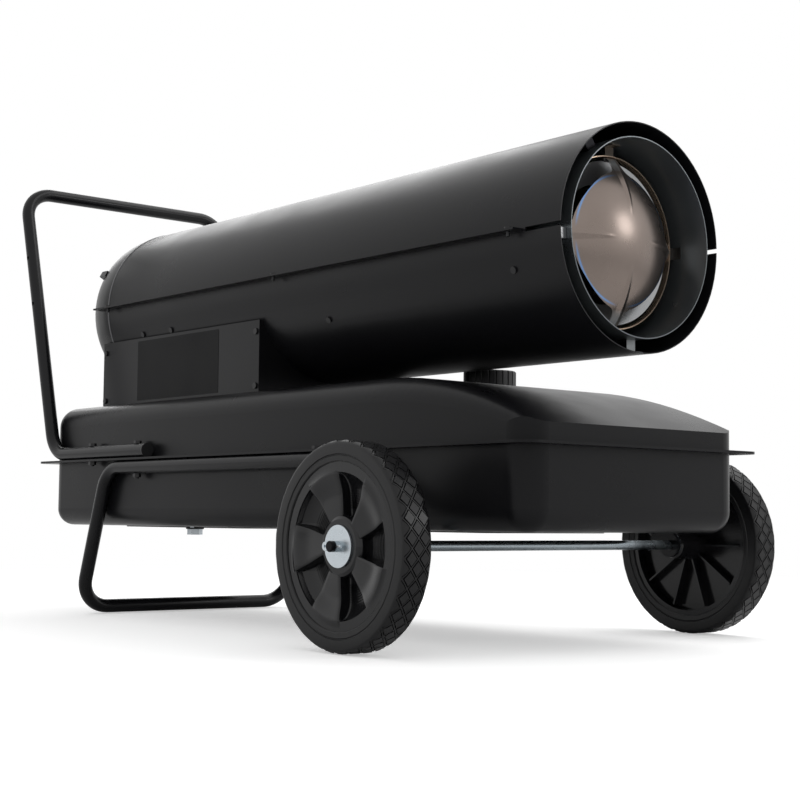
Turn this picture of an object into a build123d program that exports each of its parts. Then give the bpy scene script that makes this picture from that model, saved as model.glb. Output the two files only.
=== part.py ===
from build123d import *
from math import acos, asin, atan2, cos, degrees, pi, radians, sin, sqrt
import os

# Portable forced air heater. Millimetres. X runs towards the hot outlet, Z is up,
# and the origin is under the middle of the machine, on the floor.

# ---------------------------------------------------------------- driving sizes
# drum
drum_z = 464.0
drum_radius = 132.0
drum_sheet = 1.2
drum_front_x = 573.7
shoulder_x = -400.0
drum_rear_x = -470.0
rear_rim_radius = 110.0
seam_flange_width = 16.0
seam_flange_x0 = -419.0
seam_flange_x1 = 517.0
seam_slot_x = 520.0
seam_slot_height = 5.0
seam_screw_xs = (-383.0, 55.0, 503.0)
seam_screw_inset = 6.0
side_screw_xs = (144.0, 496.0)
side_screw_drops = (29.2, 18.4)
ledge_screw_xs = (-306.0, -227.0)
ledge_screw_z = 418.0
hose_hole_slack = 3.0

# hot end
shield_gap = 15.8
shield_sheet = 1.2
shield_x0 = 60.0
tube_gap = 13.1
flame_tube_sheet = 1.2
flame_tube_x0 = -40.0
flame_tube_x1 = 529.0
tube_bracket_inset = 30.0
dish_inset = 4.5
dish_bore = 70.0
dish_depth = 14.0
dish_tab_width = 20.0
dish_setback = 1.5
spacer_x = 556.0
spacer_width = 14.0
spacer_foot = 12.0
spacer_angles = (124, 186, 270)
diffuser_apex_x = 562.0
diffuser_ball = 156.0
diffuser_sheet = 1.2
diffuser_arm = 17.5
diffuser_trim = 14.5
diffuser_neck_round = 6.0
diffuser_tip_width = 16.0
diffuser_tab = 22.0
rib_height = 2.2
rib_width = 11.0
rib_start = 30.0

# fan, motor and pump
shaft_radius = 6.0
shaft_rear_x = -366.0
shaft_front_x = -132.0
running_gap = 0.08
motor_radius = 56.0
motor_x0 = -330.0
motor_x1 = -200.0
end_bell = 14.0
pump_radius = 40.0
pump_x0 = -370.0
pump_bore = 27.0
pump_wall = 4.0
pump_rotor_radius = 24.0
pump_cover_depth = 12.0
gauge_radius = 19.0
gauge_depth = 14.0
gauge_offset = 27.0
fan_hub_radius = 24.0
fan_hub_x0 = -166.0
fan_hub_x1 = -138.0
fan_radius = 98.0
fan_blades = 5
blade_sheet = 2.0
blade_root = 30.0
blade_tip = 66.0
bracket_x0 = -300.0
bracket_x1 = -222.0
bracket_sheet = 3.0
bracket_width = 96.0
guard_rings = (22.0, 43.0, 64.0, 85.0)
guard_wire = 3.0
clip_setback = 24.0
clip_length = 17.0
clip_width = 10.0
clip_sheet = 2.0

# burner
head_radius = 19.7
head_x0 = -72.0
head_x1 = -30.0
nozzle_radius = 7.0
nozzle_length = 15.0
electrode_radius = 3.0
electrode_offset = 12.0
photocell_radius = 5.0
photocell_offset = 44.0
air_hole_offset = 66.0
air_hole_radius = 9.0
hose_radius = 4.0
hose_bend = 14.0
pickup_stub = 14.0
pickup_filter_radius = 10.0
pickup_filter_length = 26.0
pickup_flange = 14.0
pickup_x = -64.0
pickup_y = 40.0

# tank
seam_z = 226.5
tank_sheet = 1.5
flange_x0 = -501.0
flange_x1 = 588.0
flange_half = 196.0
flange_corner = 20.0
pan_inset_x = 17.0
pan_inset_y = 18.5
pan_corner = 32.0
axle_room = 10.7
lower_pan_round = 25.0
upper_pan_z = 311.0
upper_pan_round = 30.0
ramp_x = 310.0
ramp_bend = 550.0
ramp_front_round = 10.0
lip_round = 5.0
pad_depth = 2.0
pad_length = 330.0
pad_width = 210.0
pad_xs = (-225.0, 265.0)

# fuel cap and neck
cap_x = 204.0
cap_y = 112.0
neck_radius = 25.0
neck_wall = 2.0
neck_top_z = 337.0
neck_depth = 40.0
neck_base_radius = 27.0
neck_base_height = 1.5
cap_radius = 35.5
cap_height = 24.0
cap_top_wall = 3.5
cap_thread_room = 2.6
cap_flutes = 24
cap_flute_radius = 1.6
gasket_sheet = 2.4
moving_gap = 0.3
strainer_depth = 70.0
strainer_wall = 1.5
drain_x = -190.0
drain_y = -100.0
drain_hex = 19.0
drain_head = 8.0
drain_sheet = 2.0
drain_thread = 7.0
drain_washer_radius = 13.0

# tubes
tube_radius = 10.0
tube_wall = 1.5
tube_y = 188.0
handle_front_x = -182.0
handle_bend_x = -456.0
handle_top_x = -578.0
handle_top_z = 668.0
handle_bend = 45.0
handle_hole_radius = 3.3
handle_hole_zs = (554.8, 479.0)
plug_depth = 12.0
plug_lip = 2.5
leg_top_x = -290.7
leg_foot_x = -362.8
leg_bend = 45.0
fork_x = 322.0
fork_bend = 30.0
tab_y = 236.0
tab_width = 31.0
tab_sheet = 5.0

# bolts
bolt_radius = 3.0
bolt_hex = 10.0
bolt_head = 4.0
nut_height = 5.0
bolt_slack = 0.3
bolt_reach_down = 36.5
bolt_reach_up = 33.5
rear_bolt_x = -337.0
middle_bolt_x = -207.0
front_bolt_x = 217.0
screw_radius = 2.0
screw_head_radius = 4.2
screw_head = 2.2
screw_slack = 0.1

# wheels
wheel_x = 412.0
wheel_radius = 114.3
wheel_y = 287.0
tyre_width = 38.0
tyre_depth = 23.3
tyre_round = 5.0
rim_depth = 11.0
rim_slope = 5.0
rim_inset = 2.5
web_sheet = 3.0
spoke_inset = 7.0
spokes = 5
spoke_root = 9.5
spoke_end = 26.0
spoke_twist = 5.0
boss_radius = 34.0
boss_inset = 4.3
boss_round = 5.0
inner_boss_radius = 17.0
back_ribs = 10
rib_sheet = 2.4
axle_radius = 6.0
axle_tail = 12.0
washer_radius = 23.0
washer_sheet = 2.0
inner_washer_sheet = 2.0
cotter_radius = 1.6
cotter_setback = 6.5
cotter_length = 26.0
cotter_eye = 3.2

# control box
box_x0 = -420.0
box_x1 = 2.0
box_inset = 6.0
box_sheet = 1.2
box_top_z = 412.0
cover_foot_gap = 2.0
box_return = 16.0
cover_screw_inset_x = 7.5
cover_screw_zs = (322.5, 396.5)
knob_x = -110.0
knob_z = 362.0
knob_radius = 17.0
knob_height = 16.0
knob_skirt = 7.0
knob_bar = 8.0
knob_stem = 3.0
bush_reach = 3.0
thermostat_size = 26.0
thermostat_depth = 12.0
switch_x = -190.0
switch_width = 22.0
switch_height = 30.0
switch_depth = 18.0
switch_wall = 2.5
bezel_lip = 3.0
bezel_sheet = 2.0
rocker_tilt_gap = 0.5
display_x = -275.0
display_width = 46.0
display_height = 24.0
gland_x = -365.0
gland_z = 345.0
gland_radius = 9.0
gland_reach = 12.0
gland_bore_radius = 4.0
board_setback = 14.0
board_sheet = 1.6
board_z = 351.0
board_width = 108.0
board_height = 56.0
relay_size = 20.0
relay_depth = 12.0
coil_x = -120.0
coil_length = 70.0
coil_width = 44.0
coil_height = 36.0
coil_gap = 2.0


# ---------------------------------------------------------------- small helpers
def rod(start, end, radius):
    """Round bar between two points."""
    first = Vector(start)
    run = Vector(end) - first
    return extrude(Plane(origin=first, z_dir=run) * Circle(radius), amount=run.length)


def pipe(start, end, outer, inner):
    """Round pipe between two points."""
    return rod(start, end, outer) - rod(start, end, inner)


def block(x0, x1, y0, y1, z0, z1):
    """Box given by its six faces."""
    size = (abs(x1 - x0), abs(y1 - y0), abs(z1 - z0))
    return Pos((x0 + x1) / 2, (y0 + y1) / 2, (z0 + z1) / 2) * Box(*size)


def hexagon(x, y, z0, z1, across):
    """Upright hexagon prism, as a bolt head or a nut."""
    sketch = Plane.XY.offset(z0) * Pos(x, y) * RegularPolygon(across / sqrt(3), 6)
    return extrude(sketch, amount=z1 - z0)


def drum_bar(x0, x1, radius):
    """Cylinder on the drum's axis."""
    return rod((x0, 0, drum_z), (x1, 0, drum_z), radius)


def drum_ring(x0, x1, outer, inner):
    """Tube on the drum's axis."""
    return drum_bar(x0, x1, outer) - drum_bar(x0, x1, inner)


def around(angle, shape):
    """Turn a shape about the drum's axis. At 0 the shape stands on the +Y side."""
    return Pos(0, 0, drum_z) * Rot(angle, 0, 0) * Pos(0, 0, -drum_z) * shape


def both_sides(shape):
    """A shape and its mirror twin across the centre plane."""
    return [shape, mirror(shape, about=Plane.XZ)]


def group(solids):
    """Separate solids kept under one name."""
    flat = []
    for item in solids:
        flat.extend(item.solids())
    return Compound(children=flat)


def cut(shape, tools):
    """Take several tools out of a shape."""
    for tool in tools:
        shape = shape - tool
    return shape


def join(shape, others):
    """Fuse several shapes to a shape."""
    for other in others:
        shape = shape + other
    return shape


# ---------------------------------------------------------------- drum shells
def drum_volume(inset):
    """Drum outline: long cylinder with a rounded shoulder down to the rear rim."""
    rise = drum_radius - rear_rim_radius
    reach = shoulder_x - drum_rear_x
    rim = rear_rim_radius - inset
    shoulder = EllipticalCenterArc((shoulder_x, rim), reach, rise, start_angle=90, arc_size=90)
    outline = shoulder + Polyline(
        (drum_rear_x, rim),
        (drum_rear_x, 0),
        (drum_front_x, 0),
        (drum_front_x, drum_radius - inset),
        (shoulder_x, drum_radius - inset),
    )
    return Pos(0, 0, drum_z) * revolve(make_face(outline), axis=Axis.X)


def side_screw(x, angle):
    """Pan head screw driven square to the drum's skin."""
    head = rod((x, drum_radius, drum_z), (x, drum_radius + screw_head, drum_z), screw_head_radius)
    shank = rod((x, drum_radius - 6, drum_z), (x, drum_radius, drum_z), screw_radius)
    return around(angle, head + shank)


drum_outer = drum_volume(0)
drum_inner = drum_volume(drum_sheet)
side_screw_places = []
for screw_x, drop in zip(side_screw_xs, side_screw_drops):
    side_screw_places.append((screw_x, 180 + drop))
    side_screw_places.append((screw_x, -drop))
ledge_drop = degrees(asin((drum_z - ledge_screw_z) / drum_radius))
ledge_places = [(x, 180 + ledge_drop) for x in ledge_screw_xs] + [(x, -ledge_drop) for x in ledge_screw_xs]

seam_reach = drum_radius + seam_flange_width
seam_screw_y = seam_reach - seam_screw_inset
front_slots = block(seam_slot_x, drum_front_x + 1, -seam_reach, seam_reach,
                    drum_z - seam_slot_height / 2, drum_z + seam_slot_height / 2)
seam_screw_spots = [(x, y) for x in seam_screw_xs for y in (-seam_screw_y, seam_screw_y)]
seam_holes = []
for spot_x, spot_y in seam_screw_spots:
    seam_holes.append(rod((spot_x, spot_y, drum_z - 9), (spot_x, spot_y, drum_z + 9),
                          screw_radius + screw_slack))
skin_holes = []
for spot_x, spot_angle in side_screw_places + ledge_places:
    hole = rod((spot_x, drum_radius - 8, drum_z), (spot_x, drum_radius + 2, drum_z),
               screw_radius + screw_slack)
    skin_holes.append(around(spot_angle, hole))


def half_shell(side):
    """Upper (1) or lower (-1) skin with its seam flanges."""
    edge = drum_z + side * drum_sheet
    reach = drum_z + side * (drum_radius + 5)
    half = block(drum_rear_x - 1, drum_front_x + 1, -drum_radius - 5, drum_radius + 5, drum_z, reach)
    flange = block(seam_flange_x0, seam_flange_x1, -seam_reach, seam_reach, drum_z, edge)
    shell = (drum_outer & half) + flange - drum_inner - front_slots
    return cut(shell, seam_holes)


upper_shell = half_shell(1)
hose_hole = rod((pickup_x, pickup_y, drum_z - drum_radius),
                (pickup_x, pickup_y, drum_z - drum_radius + 8 * hose_radius),
                hose_radius + hose_hole_slack)
lower_shell = cut(half_shell(-1), skin_holes + [hose_hole])
seam_screws = []
for spot_x, spot_y in seam_screw_spots:
    top = drum_z + drum_sheet
    seam_screws.append(
        rod((spot_x, spot_y, top), (spot_x, spot_y, top + screw_head), screw_head_radius)
        + rod((spot_x, spot_y, drum_z - 7), (spot_x, spot_y, top), screw_radius)
    )
seam_screws = group(seam_screws)
skin_screws = group([side_screw(x, angle) for x, angle in side_screw_places + ledge_places])


# ---------------------------------------------------------------- rear guard
guard_rim = rear_rim_radius - drum_sheet
guard_x = drum_rear_x
rear_guard = drum_ring(guard_x, guard_x + guard_wire, guard_rim, guard_rim - 2 * guard_wire)
for ring_radius in guard_rings:
    rear_guard = rear_guard + drum_ring(guard_x, guard_x + guard_wire, ring_radius + guard_wire / 2,
                                        ring_radius - guard_wire / 2)
spoke_bar = block(guard_x, guard_x + guard_wire, guard_rings[0], guard_rim - guard_wire,
                  drum_z - guard_wire / 2, drum_z + guard_wire / 2)
rear_guard = join(rear_guard, [around(angle, spoke_bar) for angle in range(0, 360, 60)])
clip_x = drum_rear_x + clip_setback
clip_turn = sqrt(1 - ((shoulder_x - clip_x) / (shoulder_x - drum_rear_x)) ** 2)
clip_seat = rear_rim_radius + (drum_radius - rear_rim_radius) * clip_turn
clip = block(clip_x - clip_length, clip_x, rear_rim_radius, clip_seat + clip_sheet,
             drum_z - clip_width / 2, drum_z + clip_width / 2)
clip = clip - drum_outer
guard_clips = group([around(angle, clip) for angle in (30, 150)])


# ---------------------------------------------------------------- hot end
skin_inner = drum_radius - drum_sheet
shield_outer = skin_inner - shield_gap
shield_inner = shield_outer - shield_sheet
heat_shield = drum_ring(shield_x0, drum_front_x, shield_outer, shield_inner)
flame_tube_radius = shield_inner - tube_gap
flame_tube_inner = flame_tube_radius - flame_tube_sheet
flame_tube = drum_ring(flame_tube_x0, flame_tube_x1, flame_tube_radius, flame_tube_inner)


def standoff(x, angle, inner, outer, width):
    """Z-shaped strip between two round walls, its feet lying along them."""
    seat = sqrt(outer ** 2 - (width / 2) ** 2)
    sheet = drum_sheet
    web = block(x - sheet / 2, x + sheet / 2, inner, seat, drum_z - width / 2, drum_z + width / 2)
    low = block(x - spacer_foot, x, inner, inner + sheet, drum_z - width / 2, drum_z + width / 2)
    high = block(x, x + spacer_foot, seat - sheet, seat, drum_z - width / 2, drum_z + width / 2)
    return around(angle, web + low + high)


shield_brackets = []
for screw_x, angle in side_screw_places:
    strip = standoff(screw_x - spacer_foot / 2, angle, shield_outer, skin_inner, spacer_width)
    hole = rod((screw_x, shield_outer, drum_z), (screw_x, drum_radius, drum_z),
               screw_radius + screw_slack)
    shield_brackets.append(strip - around(angle, hole))
shield_brackets = group(shield_brackets)
front_spacers = group([standoff(spacer_x, angle, shield_outer, skin_inner, spacer_width)
                       for angle in spacer_angles])
rim_x = flame_tube_x1 - spacer_foot / 2
tube_brackets = group([standoff(x, angle, flame_tube_radius, shield_inner, spacer_width)
                       for x in (shield_x0 + tube_bracket_inset, rim_x) for angle in (0, 90, 180, 270)])

# Domed cross: a ball cap trimmed to a square with cut corners, each corner drawn out
# into an arm that bends back along the tube's wall, with a pressed rib down each arm.
ball_x = diffuser_apex_x - diffuser_ball
tip = flame_tube_inner
tip_angle = degrees(asin(tip / diffuser_ball))
tip_x = ball_x + diffuser_ball * cos(radians(tip_angle))

# Dished ring just behind the cross, held to the tube's wall by four tabs.
dish_radius = tip - dish_inset
dish_x = tip_x - dish_setback
dish_outline = make_face(Polyline(
    (dish_x, dish_radius),
    (dish_x - dish_depth, dish_bore),
    (dish_x - dish_depth - flame_tube_sheet, dish_bore),
    (dish_x - flame_tube_sheet, dish_radius),
    close=True,
))
dish_wall = tip - diffuser_sheet
tab_floor = flame_tube_x1 - diffuser_tab
dish_tab = (
    drum_ring(tab_floor, dish_x, dish_wall, dish_wall - flame_tube_sheet)
    + drum_ring(dish_x - flame_tube_sheet, dish_x, dish_wall, dish_radius - 1)
)
half_tab = dish_tab_width / 2
dish_tab = dish_tab & block(tab_floor, dish_x, 0, tip, drum_z - half_tab, drum_z + half_tab)
flame_cone = Pos(0, 0, drum_z) * revolve(dish_outline, axis=Axis.X)
flame_cone = join(flame_cone, [around(angle, dish_tab) for angle in (0, 90, 180, 270)])


def dome_cap(outer, inner):
    """Bowl between two balls, out to the arms' tips."""
    front = CenterArc((ball_x, 0), outer, 0, tip_angle)
    back = CenterArc((ball_x, 0), inner, 0, tip_angle)
    rim = Line(front @ 0, back @ 0) + Line(front @ 1, back @ 1)
    return Pos(0, 0, drum_z) * revolve(make_face(front + back + rim), axis=Axis.X)


diffuser_corner = tip - diffuser_arm
diffuser_side = diffuser_corner - diffuser_trim
cross = Circle(diffuser_corner) & (Rot(0, 0, 45) * Rectangle(2 * diffuser_side, 2 * diffuser_side))
cross = cross + Rectangle(2 * tip, diffuser_tip_width) + Rectangle(diffuser_tip_width, 2 * tip)
necks = [vertex for vertex in cross.vertices()
         if abs(min(abs(vertex.X), abs(vertex.Y)) - diffuser_tip_width / 2) < 0.01
         and max(abs(vertex.X), abs(vertex.Y)) < diffuser_corner + 1]
corner_half = diffuser_corner * sin(radians(45) - acos(diffuser_side / diffuser_corner))
neck_round = min(diffuser_neck_round, 0.9 * (corner_half - diffuser_tip_width / 2))
cross = fillet(necks, neck_round)
cross_prism = extrude(Plane.YZ.offset(ball_x) * Pos(0, drum_z) * cross, amount=diffuser_ball + 5)
rib_end = tip - 6
rib_side = rib_width / 2
rib_plan = make_face(Polyline((rib_start, 0), (rib_end, rib_side), (rib_end, -rib_side), close=True))
rib_prism = extrude(Plane.YZ.offset(ball_x) * Pos(0, drum_z) * rib_plan, amount=diffuser_ball + 5)
rib = dome_cap(diffuser_ball + rib_height, diffuser_ball - diffuser_sheet / 2) & rib_prism
tab_strip = drum_ring(tab_floor, tip_x, tip, tip - diffuser_sheet)
tab_strip = tab_strip & block(tab_floor, tip_x, 0, tip + 1,
                              drum_z - diffuser_tip_width / 2, drum_z + diffuser_tip_width / 2)
flame_diffuser = dome_cap(diffuser_ball, diffuser_ball - diffuser_sheet) & cross_prism
for angle in (0, 90, 180, 270):
    flame_diffuser = flame_diffuser + around(angle, tab_strip) + around(angle, rib)

# chamber head and burner
head_hole = head_radius + screw_slack
chamber_head = drum_ring(flame_tube_x0, flame_tube_x0 + 2, flame_tube_inner, head_hole)
chamber_head = chamber_head + drum_ring(flame_tube_x0, flame_tube_x0 + 12, flame_tube_inner,
                                        flame_tube_inner - 1.5)
air_hole = rod((flame_tube_x0 - 1, air_hole_offset, drum_z), (flame_tube_x0 + 3, air_hole_offset, drum_z),
               air_hole_radius)
cell_angle = 90
cell_hole = rod((flame_tube_x0 - 1, photocell_offset, drum_z),
                (flame_tube_x0 + 3, photocell_offset, drum_z), photocell_radius + screw_slack)
chamber_head = cut(chamber_head, [around(angle, air_hole) for angle in range(0, 360, 45)])
chamber_head = chamber_head - around(cell_angle, cell_hole)
electrode = rod((head_x0 + 14, electrode_offset, drum_z), (head_x1 + 12, electrode_offset, drum_z),
                electrode_radius)
electrode_hole = rod((head_x0 - 1, electrode_offset, drum_z), (head_x1 + 1, electrode_offset, drum_z),
                     electrode_radius)
electrode_angles = (60, 120)
burner_head = drum_bar(head_x0, head_x1, head_radius)
burner_head = cut(burner_head, [around(angle, electrode_hole) for angle in electrode_angles])
spray_nozzle = drum_bar(head_x1, head_x1 + nozzle_length, nozzle_radius)
spray_nozzle = chamfer(spray_nozzle.edges().group_by(Axis.X)[-1], 3)
igniter = group([around(angle, electrode) for angle in electrode_angles])
photocell = around(cell_angle, rod((flame_tube_x0 - 22, photocell_offset, drum_z),
                                   (flame_tube_x0 + 4, photocell_offset, drum_z), photocell_radius))


# ---------------------------------------------------------------- motor, pump, fan
shaft_bore = drum_bar(pump_x0 - 1, shaft_front_x, shaft_radius + running_gap)
fan_motor = drum_bar(motor_x0, motor_x1, motor_radius)
fan_motor = chamfer(fan_motor.edges().filter_by(GeomType.CIRCLE), end_bell / 2)
fan_motor = fan_motor - shaft_bore
motor_shaft = drum_bar(shaft_rear_x, shaft_front_x, shaft_radius)
air_pump = drum_bar(pump_x0, motor_x0, pump_radius) - drum_bar(pump_x0, motor_x0 - pump_wall, pump_bore)
air_pump = air_pump - shaft_bore
pump_rotor = drum_ring(pump_x0 + 0.5, motor_x0 - pump_wall - 0.5, pump_rotor_radius, shaft_radius)
pump_cover = drum_bar(pump_x0 - pump_cover_depth, pump_x0, pump_radius)
pump_cover = chamfer(pump_cover.edges().group_by(Axis.X)[0], 3)
gauge_x1 = pump_x0 - pump_cover_depth
gauge_z = drum_z + gauge_offset
pressure_gauge = rod((gauge_x1 - gauge_depth, 0, gauge_z), (gauge_x1, 0, gauge_z), gauge_radius)

half_bracket = bracket_width / 2
plate = block(bracket_x0, bracket_x0 + bracket_sheet, -half_bracket, half_bracket,
              drum_z - drum_radius, drum_z - motor_radius / 2)
plate = plate & drum_bar(bracket_x0, bracket_x1, skin_inner)
foot = drum_ring(bracket_x0, bracket_x1, skin_inner, skin_inner - bracket_sheet)
foot = foot & block(bracket_x0, bracket_x1, -half_bracket, half_bracket, drum_z - drum_radius, drum_z - 90)
far_plate = Pos(bracket_x1 - bracket_x0 - bracket_sheet, 0, 0) * plate
motor_bracket = plate + far_plate + foot - drum_bar(bracket_x0 - 1, bracket_x1 + 1, motor_radius)


def blade():
    """Twisted fan blade standing on the +Y side of the hub."""
    middle = (fan_hub_x0 + fan_hub_x1) / 2
    root = Plane(origin=(middle, fan_hub_radius - 4, drum_z), x_dir=(cos(radians(48)), 0, sin(radians(48))),
                 z_dir=(0, 1, 0))
    end = Plane(origin=(middle, fan_radius, drum_z), x_dir=(cos(radians(66)), 0, sin(radians(66))),
                z_dir=(0, 1, 0))
    root_face = root * Rectangle(blade_root, blade_sheet)
    return loft([root_face, end * Rectangle(blade_tip, blade_sheet)], ruled=True)


fan = join(drum_bar(fan_hub_x0, fan_hub_x1, fan_hub_radius),
           [around(360 / fan_blades * step, blade()) for step in range(fan_blades)])
fan = fan - drum_bar(fan_hub_x0 - 1, fan_hub_x1 + 1, shaft_radius)


# ---------------------------------------------------------------- tank
pan_x0 = flange_x0 + pan_inset_x
pan_x1 = flange_x1 - pan_inset_x
pan_half = flange_half - pan_inset_y
upper_lip_z = seam_z + tank_sheet
lower_lip_z = seam_z - tank_sheet
lower_pan_z = wheel_radius + axle_radius + axle_room


def rounded_plan(x0, x1, half, corner, z0, z1):
    """Upright prism on a rounded rectangle."""
    sketch = Plane.XY.offset(z0) * Pos((x0 + x1) / 2, 0) * RectangleRounded(x1 - x0, 2 * half, corner)
    return extrude(sketch, amount=z1 - z0)


def ramp_height(x):
    """Top of the tank along the falling front."""
    return upper_pan_z - max(0.0, x - ramp_x) ** 2 / (2 * ramp_bend)


def ramp_round(x):
    """Edge rounding, which shrinks towards the low front."""
    share = max(0.0, x - ramp_x) / (pan_x1 - ramp_x)
    return upper_pan_round - (upper_pan_round - ramp_front_round) * share ** 2.2


def ramp_section(x, inset):
    """Cross-section of the upper pan."""
    top = ramp_height(x) - inset
    face = Pos(0, (top + seam_z) / 2) * Rectangle(2 * (pan_half - inset), top - seam_z)
    face = fillet(face.vertices().group_by(Axis.Y)[-1], ramp_round(x) - inset)
    return Plane.YZ.offset(x) * face


def upper_volume(inset):
    """Upper pan outline: flat rounded rear block and a falling front."""
    joint_x = ramp_x - 60
    half = pan_half - inset
    rear = block(pan_x0 + inset, joint_x, -half, half, seam_z, upper_pan_z - inset)
    corners = rear.edges().filter_by(Axis.Z).group_by(Axis.X)[0]
    rear = fillet(corners, pan_corner - inset)
    rims = [edge for edge in rear.edges().group_by(Axis.Z)[-1] if edge.center().X < joint_x - 1]
    rear = fillet(rims, upper_pan_round - inset)
    front_x = pan_x1 - inset
    steps = 6
    stations = [joint_x, ramp_x - 30] + [ramp_x + (front_x - ramp_x) * n / steps for n in range(steps + 1)]
    front = loft([ramp_section(x, inset) for x in stations])
    plan = rounded_plan(pan_x0, front_x, half, pan_corner - inset, seam_z - 1, upper_pan_z + 1)
    return rear + (front & plan)


def lower_volume(inset):
    """Lower pan outline with two shallow pads pressed into its floor."""
    half = pan_half - inset
    floor = lower_pan_z + inset
    pan = rounded_plan(pan_x0 + inset, pan_x1 - inset, half, pan_corner - inset, floor, seam_z)
    pan = fillet(pan.edges().group_by(Axis.Z)[0], lower_pan_round - inset)
    for pad_x in pad_xs:
        pad = rounded_plan(pad_x - pad_length / 2 + inset, pad_x + pad_length / 2 - inset,
                           pad_width / 2 - inset, 20 - inset, floor - pad_depth, floor + 5)
        pan = pan + pad
    return pan


def flange_plate(z0, z1):
    """Flat rim that both pans carry."""
    return rounded_plan(flange_x0, flange_x1, flange_half, flange_corner, z0, z1)


bolt_xs = (rear_bolt_x, middle_bolt_x, front_bolt_x)
bolt_holes = [rod((x, y, seam_z - bolt_reach_down), (x, y, seam_z + bolt_reach_up),
                  bolt_radius + bolt_slack)
              for x in bolt_xs for y in (-tube_y, tube_y)]
neck_hole = rod((cap_x, cap_y, neck_top_z - neck_depth), (cap_x, cap_y, neck_top_z), neck_radius)
pickup_hole = rod((pickup_x, pickup_y, upper_pan_z - 5), (pickup_x, pickup_y, upper_pan_z + 5),
                  hose_radius + hose_hole_slack)
tank_upper = upper_volume(0) + flange_plate(seam_z, upper_lip_z)
tank_upper = tank_upper - upper_volume(tank_sheet)
tank_upper = cut(tank_upper, bolt_holes + [neck_hole, pickup_hole])
drain_hole = rod((drain_x, drain_y, lower_pan_z - 5), (drain_x, drain_y, lower_pan_z + 5), drain_thread)
tank_lower = lower_volume(0) + flange_plate(lower_lip_z, seam_z)
tank_lower = tank_lower - lower_volume(tank_sheet)
tank_lower = cut(tank_lower, bolt_holes + [drain_hole])

drain_seat_z = lower_pan_z - pad_depth
drain_washer = pipe((drain_x, drain_y, drain_seat_z - drain_sheet), (drain_x, drain_y, drain_seat_z),
                    drain_washer_radius, drain_thread)
drain_plug = hexagon(drain_x, drain_y, drain_seat_z - drain_sheet - drain_head,
                     drain_seat_z - drain_sheet, drain_hex)
drain_plug = drain_plug + rod((drain_x, drain_y, drain_seat_z - drain_sheet),
                              (drain_x, drain_y, drain_seat_z + drain_head), drain_thread - screw_slack)


# ---------------------------------------------------------------- filler
def cap_rod(z0, z1, radius):
    """Cylinder on the filler's axis."""
    return rod((cap_x, cap_y, z0), (cap_x, cap_y, z1), radius)


neck_inner = neck_radius - neck_wall
neck_floor = neck_top_z - neck_depth
neck_base_z = upper_pan_z + neck_base_height
neck_base = cap_rod(upper_pan_z, neck_base_z, neck_base_radius)
strainer_seat = neck_top_z - 1
seat_radius = neck_inner + neck_wall / 2
filler_neck = cut(cap_rod(neck_floor, neck_top_z, neck_radius) + neck_base, [
    cap_rod(neck_floor, neck_top_z, neck_inner),
    cap_rod(strainer_seat, neck_top_z, seat_radius),
])
strainer_inner = neck_inner - strainer_wall
strainer_floor = neck_top_z - strainer_depth
filler_strainer = cap_rod(strainer_floor, strainer_seat, neck_inner - screw_slack)
filler_strainer = filler_strainer + cap_rod(strainer_seat, neck_top_z, seat_radius - screw_slack)
filler_strainer = filler_strainer - cap_rod(strainer_floor + strainer_wall, neck_top_z, strainer_inner)
strainer_window = Box(2 * neck_radius, strainer_inner * 0.7, (neck_floor - strainer_floor) / 2)
for turn in (0, 90):
    window_place = Pos(cap_x, cap_y, (strainer_floor + neck_floor) / 2) * Rot(0, 0, turn)
    filler_strainer = filler_strainer - window_place * strainer_window

gasket_z0 = neck_top_z + moving_gap
gasket_z1 = gasket_z0 + gasket_sheet
cap_room_z = gasket_z1 + moving_gap
cap_top_z = cap_room_z + cap_top_wall
cap_skirt_z = cap_top_z - cap_height
cap_gasket = cap_rod(gasket_z0, gasket_z1, neck_radius) - cap_rod(gasket_z0, gasket_z1, strainer_inner)
fuel_cap = cap_rod(cap_skirt_z, cap_top_z, cap_radius)
fuel_cap = chamfer(fuel_cap.edges().group_by(Axis.Z)[-1], 1.5)
flute_x = cap_x + cap_radius + cap_flute_radius / 4
flute = rod((flute_x, cap_y, cap_skirt_z), (flute_x, cap_y, cap_top_z), cap_flute_radius)
flutes = [Pos(cap_x, cap_y, 0) * Rot(0, 0, 360 / cap_flutes * n) * Pos(-cap_x, -cap_y, 0) * flute
          for n in range(cap_flutes)]
fuel_cap = cut(fuel_cap, flutes)
fuel_cap = fuel_cap - cap_rod(cap_skirt_z, cap_room_z, neck_radius + cap_thread_room)

pickup_top = upper_pan_z + box_sheet
pickup_foot = lower_pan_z + 2 * hose_radius


def pickup_rod(z0, z1, radius):
    """Cylinder on the fuel pickup's axis."""
    return rod((pickup_x, pickup_y, z0), (pickup_x, pickup_y, z1), radius)


fuel_pickup = join(pickup_rod(pickup_foot, pickup_top + pickup_stub, hose_radius), [
    pickup_rod(pickup_top, pickup_top + 3, pickup_flange),
    pickup_rod(pickup_foot, pickup_foot + pickup_filter_length, pickup_filter_radius),
])


# Wheel radii, then stations along the axle, outwards from the centre plane.
tyre_inner = wheel_radius - tyre_depth
rim_inner = tyre_inner - rim_depth
tyre_y0 = wheel_y - tyre_width / 2
tyre_y1 = wheel_y + tyre_width / 2
rim_y0 = tyre_y0 + rim_inset
rim_y1 = tyre_y1 - rim_inset
web_y0 = wheel_y - web_sheet
web_y1 = wheel_y
spoke_y = tyre_y1 - spoke_inset
boss_y1 = tyre_y1 - boss_inset
inner_boss_y = tab_y + tab_sheet / 2 + inner_washer_sheet + moving_gap
outer_face = boss_y1 + moving_gap
axle_half = outer_face + washer_sheet + axle_tail
cotter_y = axle_half - cotter_setback


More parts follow.
